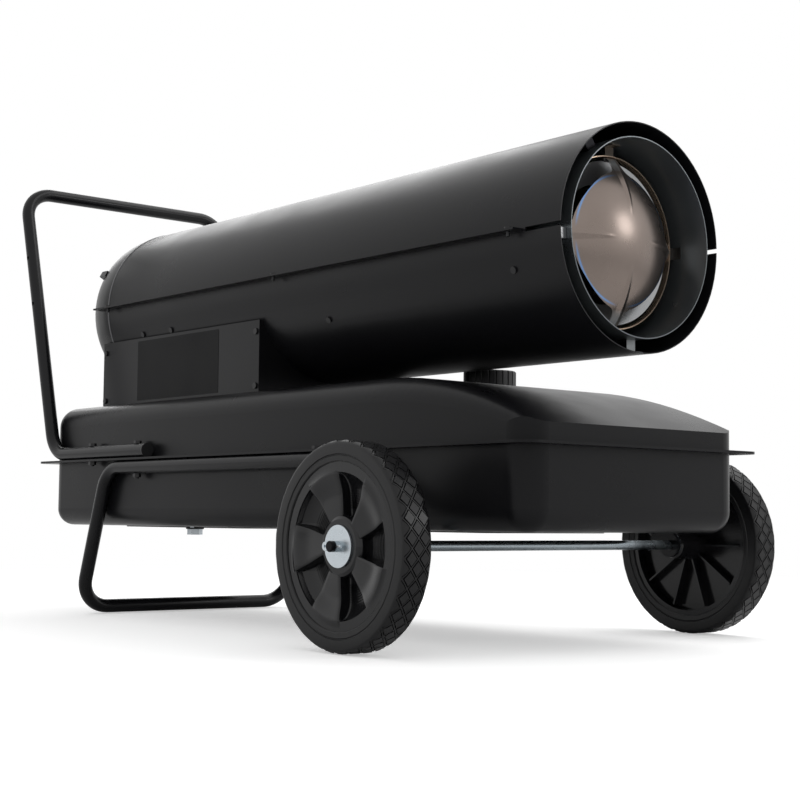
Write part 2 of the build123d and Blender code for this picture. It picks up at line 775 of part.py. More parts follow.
# ---------------------------------------------------------------- tubes
def bent_tube(points, bend, outer, inner):
    """Round tube swept along straight runs with equal bends."""
    path = FilletPolyline(*points, radius=bend)
    start = Plane(origin=path @ 0, z_dir=path % 0)
    skin = sweep(start * Circle(outer), path=path)
    return skin - sweep(start * Circle(inner), path=path)


handle_z = upper_lip_z + tube_radius
frame_z = lower_lip_z - tube_radius
tube_inner = tube_radius - tube_wall
handle_near = [
    (handle_front_x, -tube_y, handle_z),
    (handle_bend_x, -tube_y, handle_z),
    (handle_top_x, -tube_y, handle_top_z),
]
handle_far = [(x, -y, z) for x, y, z in reversed(handle_near)]
handle = bent_tube(handle_near + handle_far, handle_bend, tube_radius, tube_inner)
lean = (handle_top_x - handle_bend_x) / (handle_top_z - handle_z)
handle_hole_spots = [(handle_bend_x + lean * (z - handle_z), z) for z in handle_hole_zs]
for hole_x, hole_z in handle_hole_spots:
    hole_side = tube_y + 2 * tube_radius
    handle = handle - rod((hole_x, -hole_side, hole_z), (hole_x, hole_side, hole_z), handle_hole_radius)
handle = cut(handle, bolt_holes)
plug_seat = (handle_front_x, -tube_y, handle_z)
end_plug = rod(plug_seat, (handle_front_x + plug_lip, -tube_y, handle_z), tube_radius)
end_plug = end_plug + rod((handle_front_x - plug_depth, -tube_y, handle_z), plug_seat, tube_inner)
handle_end_plugs = group(both_sides(end_plug))

# Support frame: side runs under the flange, a rear foot bar, and flattened front ends.
tab_drop = Vector(wheel_x - fork_x, 0, wheel_radius - frame_z).normalized()
tab_side = Vector(-tab_drop.Z, 0, tab_drop.X)
flat_start = Vector(wheel_x, -tab_y, wheel_radius) - tab_drop * 26
fork_run = flat_start - Vector(fork_x, -tube_y, frame_z)
round_end = Vector(fork_x, -tube_y, frame_z) + fork_run * 0.62
leg_near = [
    (0, -tube_y, frame_z),
    (leg_top_x, -tube_y, frame_z),
    (leg_foot_x, -tube_y, tube_radius),
]
leg_far = [(x, -y, z) for x, y, z in reversed(leg_near)]
support_frame = bent_tube(leg_near + leg_far, leg_bend, tube_radius, tube_inner)
fork_path = [tuple(round_end), (fork_x, -tube_y, frame_z), (0, -tube_y, frame_z)]
fork = bent_tube(fork_path, fork_bend, tube_radius, tube_inner)
support_frame = join(support_frame, both_sides(fork))

tab_plane = Plane(origin=flat_start, x_dir=tab_side, z_dir=tab_drop)
round_plane = Plane(origin=round_end, x_dir=tab_side, z_dir=fork_run)
flare = loft([round_plane * Circle(tube_radius), tab_plane * Ellipse(tab_width / 2, tab_sheet / 2)])
tab_face = Plane(origin=(0, -tab_y + tab_sheet / 2, 0), x_dir=(1, 0, 0), z_dir=(0, -1, 0))
tab_turn = degrees(atan2(tab_drop.Z, tab_drop.X))
tab = extrude(tab_face * Pos(wheel_x, wheel_radius) * Circle(tab_width / 2), amount=tab_sheet)
strap_place = Pos(wheel_x, wheel_radius) * Rot(0, 0, tab_turn) * Pos(-14, 0)
tab = tab + extrude(tab_face * strap_place * Rectangle(28, tab_width), amount=tab_sheet)
for front_end in both_sides(flare + tab):
    support_frame = support_frame + front_end
axle_hole = rod((wheel_x, -tyre_y0, wheel_radius), (wheel_x, tyre_y0, wheel_radius), axle_radius)
support_frame = cut(support_frame, bolt_holes + [axle_hole])


# ---------------------------------------------------------------- bolts and nuts
def bolt(x, top, bottom):
    """Hex bolt from above, its nut drawn under the lowest layer."""
    shank = rod((x, -tube_y, bottom - nut_height - 2), (x, -tube_y, top), bolt_radius)
    return hexagon(x, -tube_y, top, top + bolt_head, bolt_hex) + shank


def nut(x, bottom):
    """Hex nut under the lowest layer."""
    body = hexagon(x, -tube_y, bottom - nut_height, bottom, bolt_hex)
    return body - rod((x, -tube_y, bottom - nut_height - 1), (x, -tube_y, bottom + 1), bolt_radius)


handle_top = handle_z + tube_radius
frame_bottom = frame_z - tube_radius
bolts = [
    bolt(rear_bolt_x, handle_top, lower_lip_z),
    bolt(middle_bolt_x, handle_top, frame_bottom),
    bolt(front_bolt_x, upper_lip_z, frame_bottom),
]
frame_bolts = group([twin for item in bolts for twin in both_sides(item)])
nuts = [nut(rear_bolt_x, lower_lip_z), nut(middle_bolt_x, frame_bottom), nut(front_bolt_x, frame_bottom)]
frame_nuts = group([twin for item in nuts for twin in both_sides(item)])


# ---------------------------------------------------------------- wheels
def turned(points):
    """Ring turned about the wheel axis from (radius, distance from centre plane) points."""
    corners = [(radius, -side) for radius, side in points]
    ring = revolve(make_face(Polyline(*corners, close=True)), axis=Axis.Y)
    return Pos(wheel_x, 0, wheel_radius) * ring


def wheel_plate(points, side0, side1):
    """Flat plate square to the wheel axis, between two distances from the centre plane."""
    plane = Plane(origin=(wheel_x, -side0, wheel_radius), x_dir=(1, 0, 0), z_dir=(0, -1, 0))
    return extrude(plane * make_face(Polyline(*points, close=True)), amount=side1 - side0)


def polar(radius, angle):
    """Flat point from a radius and an angle in degrees."""
    return (radius * cos(radians(angle)), radius * sin(radians(angle)))


def wheel_spoke(angle):
    """Raised spoke, wide at the rim and skewed as it runs out."""
    inner = boss_radius - boss_round
    outer = rim_inner + 2
    root_half = degrees(asin(spoke_root / inner))
    end_half = degrees(asin(spoke_end / outer))
    points = [
        polar(inner, angle - root_half),
        polar(outer, angle + spoke_twist - end_half),
        polar(outer, angle + spoke_twist + end_half),
        polar(inner, angle + root_half),
    ]
    return wheel_plate(points, web_y1, spoke_y)


def back_rib(angle):
    """Thin rib on the inner face of the wheel."""
    half = rib_sheet / 2
    inner = inner_boss_radius - 1
    outer = rim_inner + 2
    points = [(inner, -half), (outer, -half), (outer, half), (inner, half)]
    rib = wheel_plate(points, rim_y0 + 2, web_y0)
    return Pos(wheel_x, 0, wheel_radius) * Rot(0, angle, 0) * Pos(-wheel_x, 0, -wheel_radius) * rib


hub_rim = turned([
    (rim_inner, rim_y1), (tyre_inner, rim_y1), (tyre_inner, rim_y0), (rim_inner + 5, rim_y0),
    (rim_inner + 5, web_y0), (0, web_y0), (0, web_y1), (rim_inner - rim_slope, web_y1),
    (rim_inner - rim_slope, web_y1 + 4),
])
near_hub = hub_rim + turned([
    (0, boss_y1), (boss_radius - boss_round, boss_y1),
    (boss_radius - boss_round / 3, boss_y1 - boss_round / 3), (boss_radius, boss_y1 - boss_round),
    (boss_radius, web_y0), (0, web_y0),
])
near_hub = near_hub + turned([
    (0, inner_boss_y), (inner_boss_radius - 2, inner_boss_y),
    (inner_boss_radius, inner_boss_y + 2), (inner_boss_radius + 3, web_y0), (0, web_y0),
])
near_hub = join(near_hub, [wheel_spoke(180 - spoke_twist / 2 + 360 / spokes * n) for n in range(spokes)])
near_hub = join(near_hub, [back_rib(360 / back_ribs * n) for n in range(back_ribs)])
near_hub = near_hub - rod((wheel_x, -tyre_y1, wheel_radius), (wheel_x, 0, wheel_radius),
                          axle_radius + running_gap)
tyre_middle = (tyre_y0 + tyre_y1) / 2
tyre_face = Pos(tyre_inner + tyre_depth / 2, -tyre_middle) * Rectangle(tyre_depth, tyre_width)
tyre_face = fillet(tyre_face.vertices().group_by(Axis.X)[-1], tyre_round)
near_tyre = Pos(wheel_x, 0, wheel_radius) * revolve(tyre_face, axis=Axis.Y)
to_far_side = Pos(wheel_x, 0, 0) * Rot(0, 0, 180) * Pos(-wheel_x, 0, 0)
far_hub = to_far_side * near_hub
far_tyre = to_far_side * near_tyre


def axle_rod(y0, y1, radius):
    """Cylinder on the axle line."""
    return rod((wheel_x, y0, wheel_radius), (wheel_x, y1, wheel_radius), radius)


axle = axle_rod(-axle_half, axle_half, axle_radius)
axle = chamfer(axle.edges().filter_by(GeomType.CIRCLE), 1)


def cotter_rod(x0, x1, radius):
    """Cylinder along a split pin, which crosses the axle's near end."""
    return rod((wheel_x + x0, -cotter_y, wheel_radius), (wheel_x + x1, -cotter_y, wheel_radius), radius)


cotter_hole = cotter_rod(-2 * axle_radius, 2 * axle_radius, cotter_radius)
axle = cut(axle, both_sides(cotter_hole))
outer_washer = axle_rod(-outer_face - washer_sheet, -outer_face, washer_radius)
outer_washer = outer_washer - axle_rod(-axle_half, 0, axle_radius)
inner_face = tab_y + tab_sheet / 2
inner_washer = axle_rod(-inner_face - inner_washer_sheet, -inner_face, inner_boss_radius - 2)
inner_washer = inner_washer - axle_rod(-axle_half, 0, axle_radius)
axle_washers = group(both_sides(outer_washer) + both_sides(inner_washer))
half_cotter = cotter_length / 2
eye_side = cotter_radius + screw_slack
eye_start = (wheel_x - half_cotter, -cotter_y - eye_side, wheel_radius)
eye_end = (wheel_x - half_cotter, -cotter_y + eye_side, wheel_radius)
cotter = cotter_rod(cotter_eye - half_cotter, half_cotter, cotter_radius)
cotter = cotter + pipe(eye_start, eye_end, cotter_eye + cotter_radius, cotter_eye - cotter_radius)
cotter_pins = group(both_sides(cotter))


# ---------------------------------------------------------------- control box
box_half = drum_radius - box_inset
cover_inner = box_half - box_sheet
floor_z = upper_pan_z + box_sheet
tray = block(box_x0, box_x1, -cover_inner, cover_inner, upper_pan_z, floor_z)
for end_x, inward in ((box_x0, 1), (box_x1, -1)):
    tray = tray + block(end_x, end_x + inward * box_sheet, -cover_inner, cover_inner,
                        floor_z, box_top_z - box_sheet)
    for side in (-1, 1):
        tray = tray + block(end_x, end_x + inward * box_return, side * (cover_inner - box_sheet),
                            side * cover_inner, floor_z, box_top_z - box_sheet)
cover_screw_xs = (box_x0 + cover_screw_inset_x, box_x1 - cover_screw_inset_x)
cover_screw_spots = [(x, z) for x in cover_screw_xs for z in cover_screw_zs]
cover_holes = [rod((x, -box_half - 2, z), (x, box_half + 2, z), screw_radius + screw_slack)
               for x, z in cover_screw_spots]
control_box = cut(tray, cover_holes + [drum_outer, pickup_hole])

cover_z0 = upper_pan_z + cover_foot_gap
near_cover = block(box_x0, box_x1, -box_half, -cover_inner, cover_z0, box_top_z)
ledge = block(box_x0, box_x1, -box_half, -cover_inner + 8, box_top_z - box_sheet, box_top_z)
near_cover = cut(near_cover + ledge, cover_holes + [drum_outer])
far_cover = mirror(near_cover, about=Plane.XZ)


def panel_block(x, z, width, height, y0, y1):
    """Box standing off the far panel."""
    return block(x - width / 2, x + width / 2, y0, y1, z - height / 2, z + height / 2)


def panel_rod(x, z, y0, y1, radius):
    """Cylinder square to the far panel."""
    return rod((x, y0, z), (x, y1, z), radius)


behind = cover_inner - 5
ahead = box_half + 5
bush_radius = knob_stem + 2
far_cover = cut(far_cover, [
    panel_rod(knob_x, knob_z, behind, ahead, bush_radius),
    panel_block(switch_x, knob_z, switch_width, switch_height, behind, ahead),
    panel_block(display_x, knob_z, display_width, display_height, behind, ahead),
    panel_rod(gland_x, gland_z, behind, ahead, gland_radius),
])

# thermostat: body behind the cover, bush through it, knob on a stem that turns in the bush
bush_end = box_half + bush_reach
thermostat_y = cover_inner - thermostat_depth
thermostat = panel_block(knob_x, knob_z, thermostat_size, thermostat_size, thermostat_y, cover_inner)
thermostat = thermostat + panel_rod(knob_x, knob_z, cover_inner, bush_end, bush_radius - screw_slack)
stem_end = cover_inner - thermostat_depth + 4
thermostat = thermostat - panel_rod(knob_x, knob_z, stem_end - 1, bush_end, knob_stem + running_gap)
knob_y0 = box_half + 2 * moving_gap
knob_y1 = knob_y0 + knob_height
skirt_end = knob_y0 + knob_skirt
knob_room = panel_rod(knob_x, knob_z, knob_y0, bush_end + 1, bush_radius + 1)
knob_skirt_disc = panel_rod(knob_x, knob_z, knob_y0, skirt_end, knob_radius)
knob_grip = panel_rod(knob_x, knob_z, skirt_end, knob_y1, knob_radius)
knob_grip = chamfer(knob_grip.edges().group_by(Axis.Y)[-1], 2)
knob_grip = knob_grip & panel_block(knob_x, knob_z, knob_bar, 2 * knob_radius, skirt_end, knob_y1)
knob_shaft = panel_rod(knob_x, knob_z, stem_end, skirt_end, knob_stem)
thermostat_knob = knob_skirt_disc + knob_grip - knob_room + knob_shaft

# rocker switch: housing through the cover, paddle that tips in it
bezel_width = switch_width + 2 * bezel_lip
bezel_height = switch_height + 2 * bezel_lip
bezel_y = box_half + bezel_sheet
switch_body = panel_block(switch_x, knob_z, switch_width - 2 * screw_slack, switch_height - 2 * screw_slack,
                          cover_inner - switch_depth, box_half)
switch_body = switch_body + panel_block(switch_x, knob_z, bezel_width, bezel_height, box_half, bezel_y)
paddle_width = switch_width - 2 * switch_wall
paddle_height = switch_height - 2 * switch_wall
switch_body = switch_body - panel_block(switch_x, knob_z, paddle_width, paddle_height,
                                        cover_inner - switch_depth / 2, bezel_y)
rocker_y = box_half - 1.5
paddle_radius = paddle_height / 2 - 2.6 * rocker_tilt_gap
paddle_half = paddle_width / 2 - rocker_tilt_gap
rocker_switch = rod((switch_x - paddle_half, rocker_y, knob_z),
                    (switch_x + paddle_half, rocker_y, knob_z), paddle_radius)
rocker_switch = rocker_switch & panel_block(switch_x, knob_z, paddle_width, paddle_height,
                                            rocker_y - 0.4 * paddle_radius, rocker_y + paddle_radius)
dish_ball = 2.4 * paddle_radius
dish = rod((switch_x - paddle_width, rocker_y + 0.62 * paddle_radius + dish_ball, knob_z),
           (switch_x + paddle_width, rocker_y + 0.62 * paddle_radius + dish_ball, knob_z), dish_ball)
rocker_switch = rocker_switch - dish

display_window = panel_block(display_x, knob_z, display_width - 2 * screw_slack,
                             display_height - 2 * screw_slack, cover_inner, box_half)
display_window = display_window + panel_block(display_x, knob_z, display_width + 4, display_height + 4,
                                              box_half, box_half + 1)
board_y = cover_inner - board_setback
board_front = board_y + board_sheet
control_board = panel_block(display_x, board_z, board_width, board_height, board_y, board_front)
control_board = control_board + panel_block(display_x, knob_z, display_width - 4, display_height - 4,
                                            board_front, cover_inner)
relay_x = display_x - board_width / 2 + relay_size
control_board = control_board + panel_block(relay_x, board_z - board_height / 4, relay_size, relay_size,
                                            board_y - relay_depth, board_y)
for corner_x in (-1, 1):
    for corner_z in (-1, 1):
        post_x = display_x + corner_x * (board_width / 2 - 4)
        post_z = board_z + corner_z * (board_height / 2 - 4)
        control_board = control_board + panel_rod(post_x, post_z, board_front, cover_inner, 2.5)
coil_y = -cover_inner + box_sheet + coil_gap
ignition_transformer = block(coil_x, coil_x + coil_length, coil_y, coil_y + coil_width,
                             floor_z, floor_z + coil_height)
gland_y0 = cover_inner - gland_radius
gland_y1 = box_half + gland_reach
cord_gland = panel_rod(gland_x, gland_z, gland_y0, gland_y1, gland_radius - screw_slack)
gland_nut = extrude(Plane(origin=(gland_x, box_half, gland_z), z_dir=(0, 1, 0))
                    * RegularPolygon(gland_radius + 4, 6), amount=gland_reach / 2)
cord_gland = cord_gland + gland_nut - panel_rod(gland_x, gland_z, gland_y0, gland_y1, gland_bore_radius)
cover_screw_list = []
for x, z in cover_screw_spots:
    head = rod((x, -box_half - screw_head, z), (x, -box_half, z), screw_head_radius)
    shank = rod((x, -box_half, z), (x, -cover_inner + 6, z), screw_radius)
    cover_screw_list.extend(both_sides(head + shank))
cover_screws = group(cover_screw_list)


# ---------------------------------------------------------------- hoses
def hose(points, bend):
    """Solid round hose along straight runs with equal bends."""
    path = FilletPolyline(*points, radius=bend)
    return sweep(Plane(origin=path @ 0, z_dir=path % 0) * Circle(hose_radius), path=path)


fuel_inlet_z = drum_z - head_radius / 2
fuel_hose = hose([
    (pickup_x, pickup_y, pickup_top + pickup_stub),
    (pickup_x, pickup_y, fuel_inlet_z),
    (pickup_x, head_radius, fuel_inlet_z),
], hose_bend)
pump_mid_x = (pump_x0 + motor_x0) / 2
head_mid_x = (head_x0 + head_x1) / 2 - 2 * hose_radius
lane = skin_inner - 2 * hose_radius
lane_drop = lane * sin(radians(12))
lane_y = lane * cos(radians(12))
air_hose = hose([
    (pump_mid_x, pump_radius + 0.2, drum_z),
    (pump_mid_x, (pump_radius + lane_y) / 2, drum_z),
    (pump_mid_x, lane_y, drum_z - lane_drop),
    (head_x0 - 5 * hose_radius, lane_y, drum_z - lane_drop),
    (head_mid_x, lane_y / 2, drum_z + 2 * hose_radius),
    (head_mid_x, head_radius, drum_z + 2 * hose_radius),
], hose_bend * 0.7)

nodes = {
    "upper_shell": upper_shell,
    "lower_shell": lower_shell,
    "seam_screws": seam_screws,
    "skin_screws": skin_screws,
    "rear_guard": rear_guard,
    "guard_clips": guard_clips,
    "heat_shield": heat_shield,
    "shield_brackets": shield_brackets,
    "front_spacers": front_spacers,
    "flame_tube": flame_tube,
    "tube_brackets": tube_brackets,
    "flame_cone": flame_cone,
    "flame_diffuser": flame_diffuser,
    "chamber_head": chamber_head,
    "burner_head": burner_head,
    "spray_nozzle": spray_nozzle,
    "igniter": igniter,
    "photocell": photocell,
    "fan": fan,
    "motor_shaft": motor_shaft,
    "fan_motor": fan_motor,
    "motor_bracket": motor_bracket,
    "air_pump": air_pump,
    "pump_rotor": pump_rotor,
    "pump_cover": pump_cover,
    "pressure_gauge": pressure_gauge,
    "air_hose": air_hose,
    "fuel_hose": fuel_hose,
    "fuel_pickup": fuel_pickup,
    "tank_upper": tank_upper,
    "tank_lower": tank_lower,
    "filler_neck": filler_neck,
    "filler_strainer": filler_strainer,
    "cap_gasket": cap_gasket,
    "fuel_cap": fuel_cap,
    "drain_washer": drain_washer,
    "drain_plug": drain_plug,
    "handle": handle,
    "handle_end_plugs": handle_end_plugs,
    "support_frame": support_frame,
    "frame_bolts": frame_bolts,
    "frame_nuts": frame_nuts,
    "axle": axle,
    "near_hub": near_hub,
    "far_hub": far_hub,
    "near_tyre": near_tyre,
    "far_tyre": far_tyre,
    "axle_washers": axle_washers,
    "cotter_pins": cotter_pins,
    "control_box": control_box,
    "near_cover": near_cover,
    "far_cover": far_cover,
    "cover_screws": cover_screws,
    "control_board": control_board,
    "ignition_transformer": ignition_transformer,
    "thermostat": thermostat,
    "thermostat_knob": thermostat_knob,
    "panel_fittings": group([switch_body, cord_gland]),
    "rocker_switch": rocker_switch,
    "display_window": display_window,
}

os.makedirs("parts", exist_ok=True)
for name, shape in nodes.items():
    export_step(shape, f"parts/{name}.step")
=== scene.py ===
from math import asin, atan2, cos, pi, radians, sin, sqrt
import bmesh
import bpy
from mathutils import Matrix, Vector


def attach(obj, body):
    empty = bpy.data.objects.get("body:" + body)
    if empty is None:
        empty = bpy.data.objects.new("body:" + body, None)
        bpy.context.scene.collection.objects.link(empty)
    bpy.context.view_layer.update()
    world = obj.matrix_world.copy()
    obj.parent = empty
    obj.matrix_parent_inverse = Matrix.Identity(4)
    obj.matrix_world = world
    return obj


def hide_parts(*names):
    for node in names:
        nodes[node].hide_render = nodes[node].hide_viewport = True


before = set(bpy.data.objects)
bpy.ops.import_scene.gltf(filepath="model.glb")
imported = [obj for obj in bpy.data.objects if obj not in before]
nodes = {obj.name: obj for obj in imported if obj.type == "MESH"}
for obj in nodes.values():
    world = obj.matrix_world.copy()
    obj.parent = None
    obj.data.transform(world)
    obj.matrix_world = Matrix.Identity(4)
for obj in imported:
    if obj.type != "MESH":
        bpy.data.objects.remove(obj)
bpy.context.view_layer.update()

# Portable forced air heater. Metres, X towards the hot outlet, Z up, -Y is the side that the photo shows.
scene = bpy.context.scene
scene.view_settings.view_transform = "Standard"

# ------------------------------------------------------------ sizes that several pieces share
DRUM_Z = 0.464
DRUM_R = 0.132
DRUM_FRONT = (0.5737, 0, DRUM_Z)
WHEEL_X = 0.412
WHEEL_Y = 0.287
WHEEL_R = 0.1143
SHEET = 0.0012
SIDES = (("near", -1), ("far", 1))

# ------------------------------------------------------------ camera
CAMERA_AT = (1.7473, -1.3340, 0.1435)
CAMERA_AZIMUTH = 50.139
CAMERA_HEIGHT = -4.353
CAMERA_ROLL = 0.5585
CAMERA_LENS = 70.698


def make_camera():
    """Camera from the lens fit of the photograph."""
    azimuth, height, roll = radians(CAMERA_AZIMUTH), radians(CAMERA_HEIGHT), radians(CAMERA_ROLL)
    data = bpy.data.cameras.new("photo_camera")
    data.sensor_width = 36
    data.lens = CAMERA_LENS
    data.clip_start = 0.02
    data.clip_end = 60
    camera = bpy.data.objects.new("photo_camera", data)
    back = Vector((sin(azimuth) * cos(height), -cos(azimuth) * cos(height), sin(height)))
    turn = back.to_track_quat("Z", "Y").to_matrix() @ Matrix.Rotation(roll, 3, "Z")
    camera.rotation_euler = turn.to_euler()
    camera.location = CAMERA_AT
    scene.collection.objects.link(camera)
    scene.camera = camera


make_camera()


# ------------------------------------------------------------ node helpers
def new_material(name):
    """Empty material with its Principled shader."""
    material = bpy.data.materials.new(name)
    material.use_nodes = True
    tree = material.node_tree
    return material, tree, tree.nodes["Principled BSDF"]


def link(tree, source, target):
    tree.links.new(source, target)


def place(tree):
    """Object coordinates, which are frame coordinates for every piece."""
    return tree.nodes.new("ShaderNodeTexCoord").outputs["Object"]


def noise(tree, scale, detail):
    """Noise over the piece, as a factor."""
    texture = tree.nodes.new("ShaderNodeTexNoise")
    texture.inputs["Scale"].default_value = scale
    texture.inputs["Detail"].default_value = detail
    link(tree, place(tree), texture.inputs["Vector"])
    return texture.outputs["Fac"]


def calculate(tree, operation, first, second):
    """Result of an operation on a socket and a second socket or number."""
    node = tree.nodes.new("ShaderNodeMath")
    node.operation = operation
    link(tree, first, node.inputs[0])
    if isinstance(second, float):
        node.inputs[1].default_value = second
    else:
        link(tree, second, node.inputs[1])
    return node.outputs["Value"]


def on_vector(tree, operation, vector, constant=None):
    """Result of a vector operation on a socket, with a constant where it takes one."""
    node = tree.nodes.new("ShaderNodeVectorMath")
    node.operation = operation
    link(tree, vector, node.inputs[0])
    if constant is not None:
        node.inputs[1].default_value = constant
    return node.outputs["Value" if operation in ("DOT_PRODUCT", "LENGTH") else "Vector"]


def spread(tree, value, start, end, low=0.0, high=1.0, smooth=False):
    """Map a value between start and end to low and high, clamped."""
    node = tree.nodes.new("ShaderNodeMapRange")
    if smooth:
        node.interpolation_type = "SMOOTHSTEP"
    for name, number in (("From Min", start), ("From Max", end), ("To Min", low), ("To Max", high)):
        node.inputs[name].default_value = number
    link(tree, value, node.inputs["Value"])
    return node.outputs["Result"]


def mix_colour(tree, factor, first, second):
    """Blend from a colour or a colour socket to a colour."""
    node = tree.nodes.new("ShaderNodeMix")
    node.data_type = "RGBA"
    if isinstance(first, tuple):
        node.inputs["A"].default_value = (*first, 1)
    else:
        link(tree, first, node.inputs["A"])
    node.inputs["B"].default_value = (*second, 1)
    link(tree, factor, node.inputs["Factor"])
    return node.outputs["Result"]


# noise gathers round its middle, so this much of its range is spread over a finish
NOISE_LOW = 0.3
NOISE_HIGH = 0.7
SLOW_DETAIL = 4
GRAIN_DETAIL = 2


def surface(name, dark, light, rough, metal=0.0, grain=900, depth=0.00004, patch=9, specular=0.5):
    """Finish with a slow change of tone, a varied gloss and a fine grain."""
    material, tree, shader = new_material(name)
    shader.inputs["Metallic"].default_value = metal
    shader.inputs["Specular IOR Level"].default_value = specular
    slow = noise(tree, patch, SLOW_DETAIL)
    link(tree, mix_colour(tree, slow, dark, light), shader.inputs["Base Color"])
    link(tree, spread(tree, slow, NOISE_LOW, NOISE_HIGH, *rough), shader.inputs["Roughness"])
    bump = tree.nodes.new("ShaderNodeBump")
    bump.inputs["Strength"].default_value = 1
    bump.inputs["Distance"].default_value = depth
    link(tree, noise(tree, grain, GRAIN_DETAIL), bump.inputs["Height"])
    link(tree, bump.outputs["Normal"], shader.inputs["Normal"])
    return material


def far_from(tree, centre, axes, start, end):
    """0 to 1 as the summed distance from a point along some axes goes from start to end."""
    shift = on_vector(tree, "SUBTRACT", place(tree), centre)
    total = on_vector(tree, "DOT_PRODUCT", on_vector(tree, "ABSOLUTE", shift), axes)
    return spread(tree, total, start, end, smooth=True)


def ring_at(tree, start, peak, end):
    """Band round the drum's axis: 0 at the start and end radius, 1 at the peak."""
    shift = on_vector(tree, "SUBTRACT", place(tree), DRUM_FRONT)
    reach = on_vector(tree, "LENGTH", on_vector(tree, "MULTIPLY", shift, (0, 1, 1)))
    return calculate(tree, "MULTIPLY", spread(tree, reach, start, peak), spread(tree, reach, end, peak))


def tint(material, factor_of, colour):
    """Blend a colour over a finish where factor_of(tree) rises to 1."""
    tree = material.node_tree
    target = tree.nodes["Principled BSDF"].inputs["Base Color"]
    under = target.links[0].from_socket
    link(tree, mix_colour(tree, factor_of(tree), under, colour), target)


# ------------------------------------------------------------ finishes
black_coat = surface("black_powder_coat", (0.0045, 0.0045, 0.0055), (0.007, 0.007, 0.008), (0.27, 0.35),
                     grain=1300, specular=0.195)
tank_coat = surface("black_tank_enamel", (0.004, 0.004, 0.0048), (0.0065, 0.0065, 0.0075), (0.26, 0.34),
                    grain=1100, specular=0.15)
tube_coat = surface("black_tube_enamel", (0.005, 0.005, 0.006), (0.008, 0.008, 0.009), (0.20, 0.28),
                    grain=1200, specular=0.22)
black_steel = surface("black_oxide", (0.008, 0.008, 0.009), (0.016, 0.016, 0.017), (0.3, 0.42),
                      metal=0.2, grain=900, specular=0.4)
tyre_rubber = surface("tyre_rubber", (0.0035, 0.0035, 0.004), (0.0065, 0.0065, 0.0073), (0.28, 0.38),
                      grain=700, depth=0.00006, specular=0.30)
hub_plastic = surface("hub_plastic", (0.0035, 0.0035, 0.0042), (0.006, 0.006, 0.007), (0.15, 0.22),
                      grain=500, specular=0.36)
black_plastic = surface("black_plastic", (0.008, 0.008, 0.009), (0.014, 0.014, 0.015), (0.36, 0.46),
                        grain=700, depth=0.00008, specular=0.4)
label_film = surface("label_film", (0.004, 0.004, 0.0045), (0.006, 0.006, 0.0068), (0.34, 0.44),
                     grain=1800, depth=0.00001, specular=0.08)
zinc = surface("zinc_plate", (0.50, 0.56, 0.60), (0.66, 0.70, 0.73), (0.24, 0.36),
               metal=1.0, grain=300, depth=0.00003, patch=40)
axle_steel = surface("axle_steel", (0.30, 0.35, 0.38), (0.42, 0.46, 0.49), (0.22, 0.32),
                     metal=1.0, grain=300, depth=0.00002, patch=40)
galvanised = surface("galvanised_sheet", (0.30, 0.31, 0.31), (0.44, 0.45, 0.45), (0.30, 0.46),
                     metal=1.0, grain=240, patch=60)
blued_steel = surface("heat_steel", (0.095, 0.107, 0.114), (0.155, 0.168, 0.176), (0.26, 0.36),
                      metal=0.75, grain=800, patch=12)
tube_steel = surface("flame_tube_steel", (0.34, 0.32, 0.27), (0.56, 0.53, 0.46), (0.22, 0.32),
                     metal=0.85, grain=500, patch=16)
stainless = surface("stainless_sheet", (0.175, 0.142, 0.125), (0.27, 0.225, 0.20), (0.24, 0.34),
                    metal=1.0, grain=160, depth=0.00002, patch=11)
bracket_steel_painted_shade = surface("bracket_steel_painted_shade", (0.13, 0.115, 0.10), (0.24, 0.20, 0.165), (0.28, 0.38),
                        metal=1.0, grain=300, patch=40)
spacer_steel_painted_shade = surface("spacer_steel_painted_shade", (0.13, 0.137, 0.142), (0.24, 0.25, 0.255), (0.26, 0.36),
                       metal=1.0, grain=300, patch=40)
ring_steel = surface("ring_steel", (0.26, 0.27, 0.28), (0.42, 0.42, 0.42), (0.24, 0.34),
                     metal=1.0, grain=160, depth=0.00002, patch=14)
cast_metal = surface("cast_aluminium", (0.46, 0.47, 0.48), (0.6, 0.61, 0.62), (0.42, 0.56),
                     metal=1.0, grain=420, depth=0.00012)
motor_enamel = surface("motor_enamel", (0.03, 0.03, 0.034), (0.05, 0.05, 0.054), (0.36, 0.48), grain=900)
brass = surface("brass", (0.60, 0.45, 0.20), (0.72, 0.56, 0.28), (0.22, 0.34), metal=1.0)
ceramic = surface("ceramic", (0.78, 0.76, 0.70), (0.88, 0.86, 0.80), (0.16, 0.26), grain=600)
nylon = surface("nylon", (0.70, 0.69, 0.63), (0.80, 0.79, 0.73), (0.42, 0.52), grain=600)
green_board = surface("circuit_board", (0.02, 0.10, 0.05), (0.03, 0.14, 0.07), (0.28, 0.36), grain=300)
smoked = surface("smoked_window", (0.010, 0.011, 0.013), (0.014, 0.015, 0.018), (0.08, 0.14),
                 grain=300, depth=0.00001)
# bead: far lighter than the drum's black coat, a painted highlight along the bead
bead_painted_highlight = surface("bead_painted_highlight", (0.075, 0.075, 0.080), (0.11, 0.11, 0.117), (0.26, 0.34),
                    grain=1300, specular=0.4)

# the cross: blue at the dome's edge away from the arms, and lighter arms
BLUE_EDGE = (0.0737, 0.0753, 0.0769)
BLUE_FROM_ARMS = (0.057, 0.071)
ARM_BAND = (0.080, 0.090, 0.25)
HALF_DIAGONAL = 0.7071


def blue_edge(tree):
    away = far_from(tree, DRUM_FRONT, (0, HALF_DIAGONAL, HALF_DIAGONAL), *BLUE_FROM_ARMS)
    return calculate(tree, "MULTIPLY", ring_at(tree, *BLUE_EDGE), away)


tint(stainless, blue_edge, (0.16, 0.32, 0.62))
tint(stainless, lambda tree: ring_at(tree, *ARM_BAND), (0.74, 0.71, 0.69))
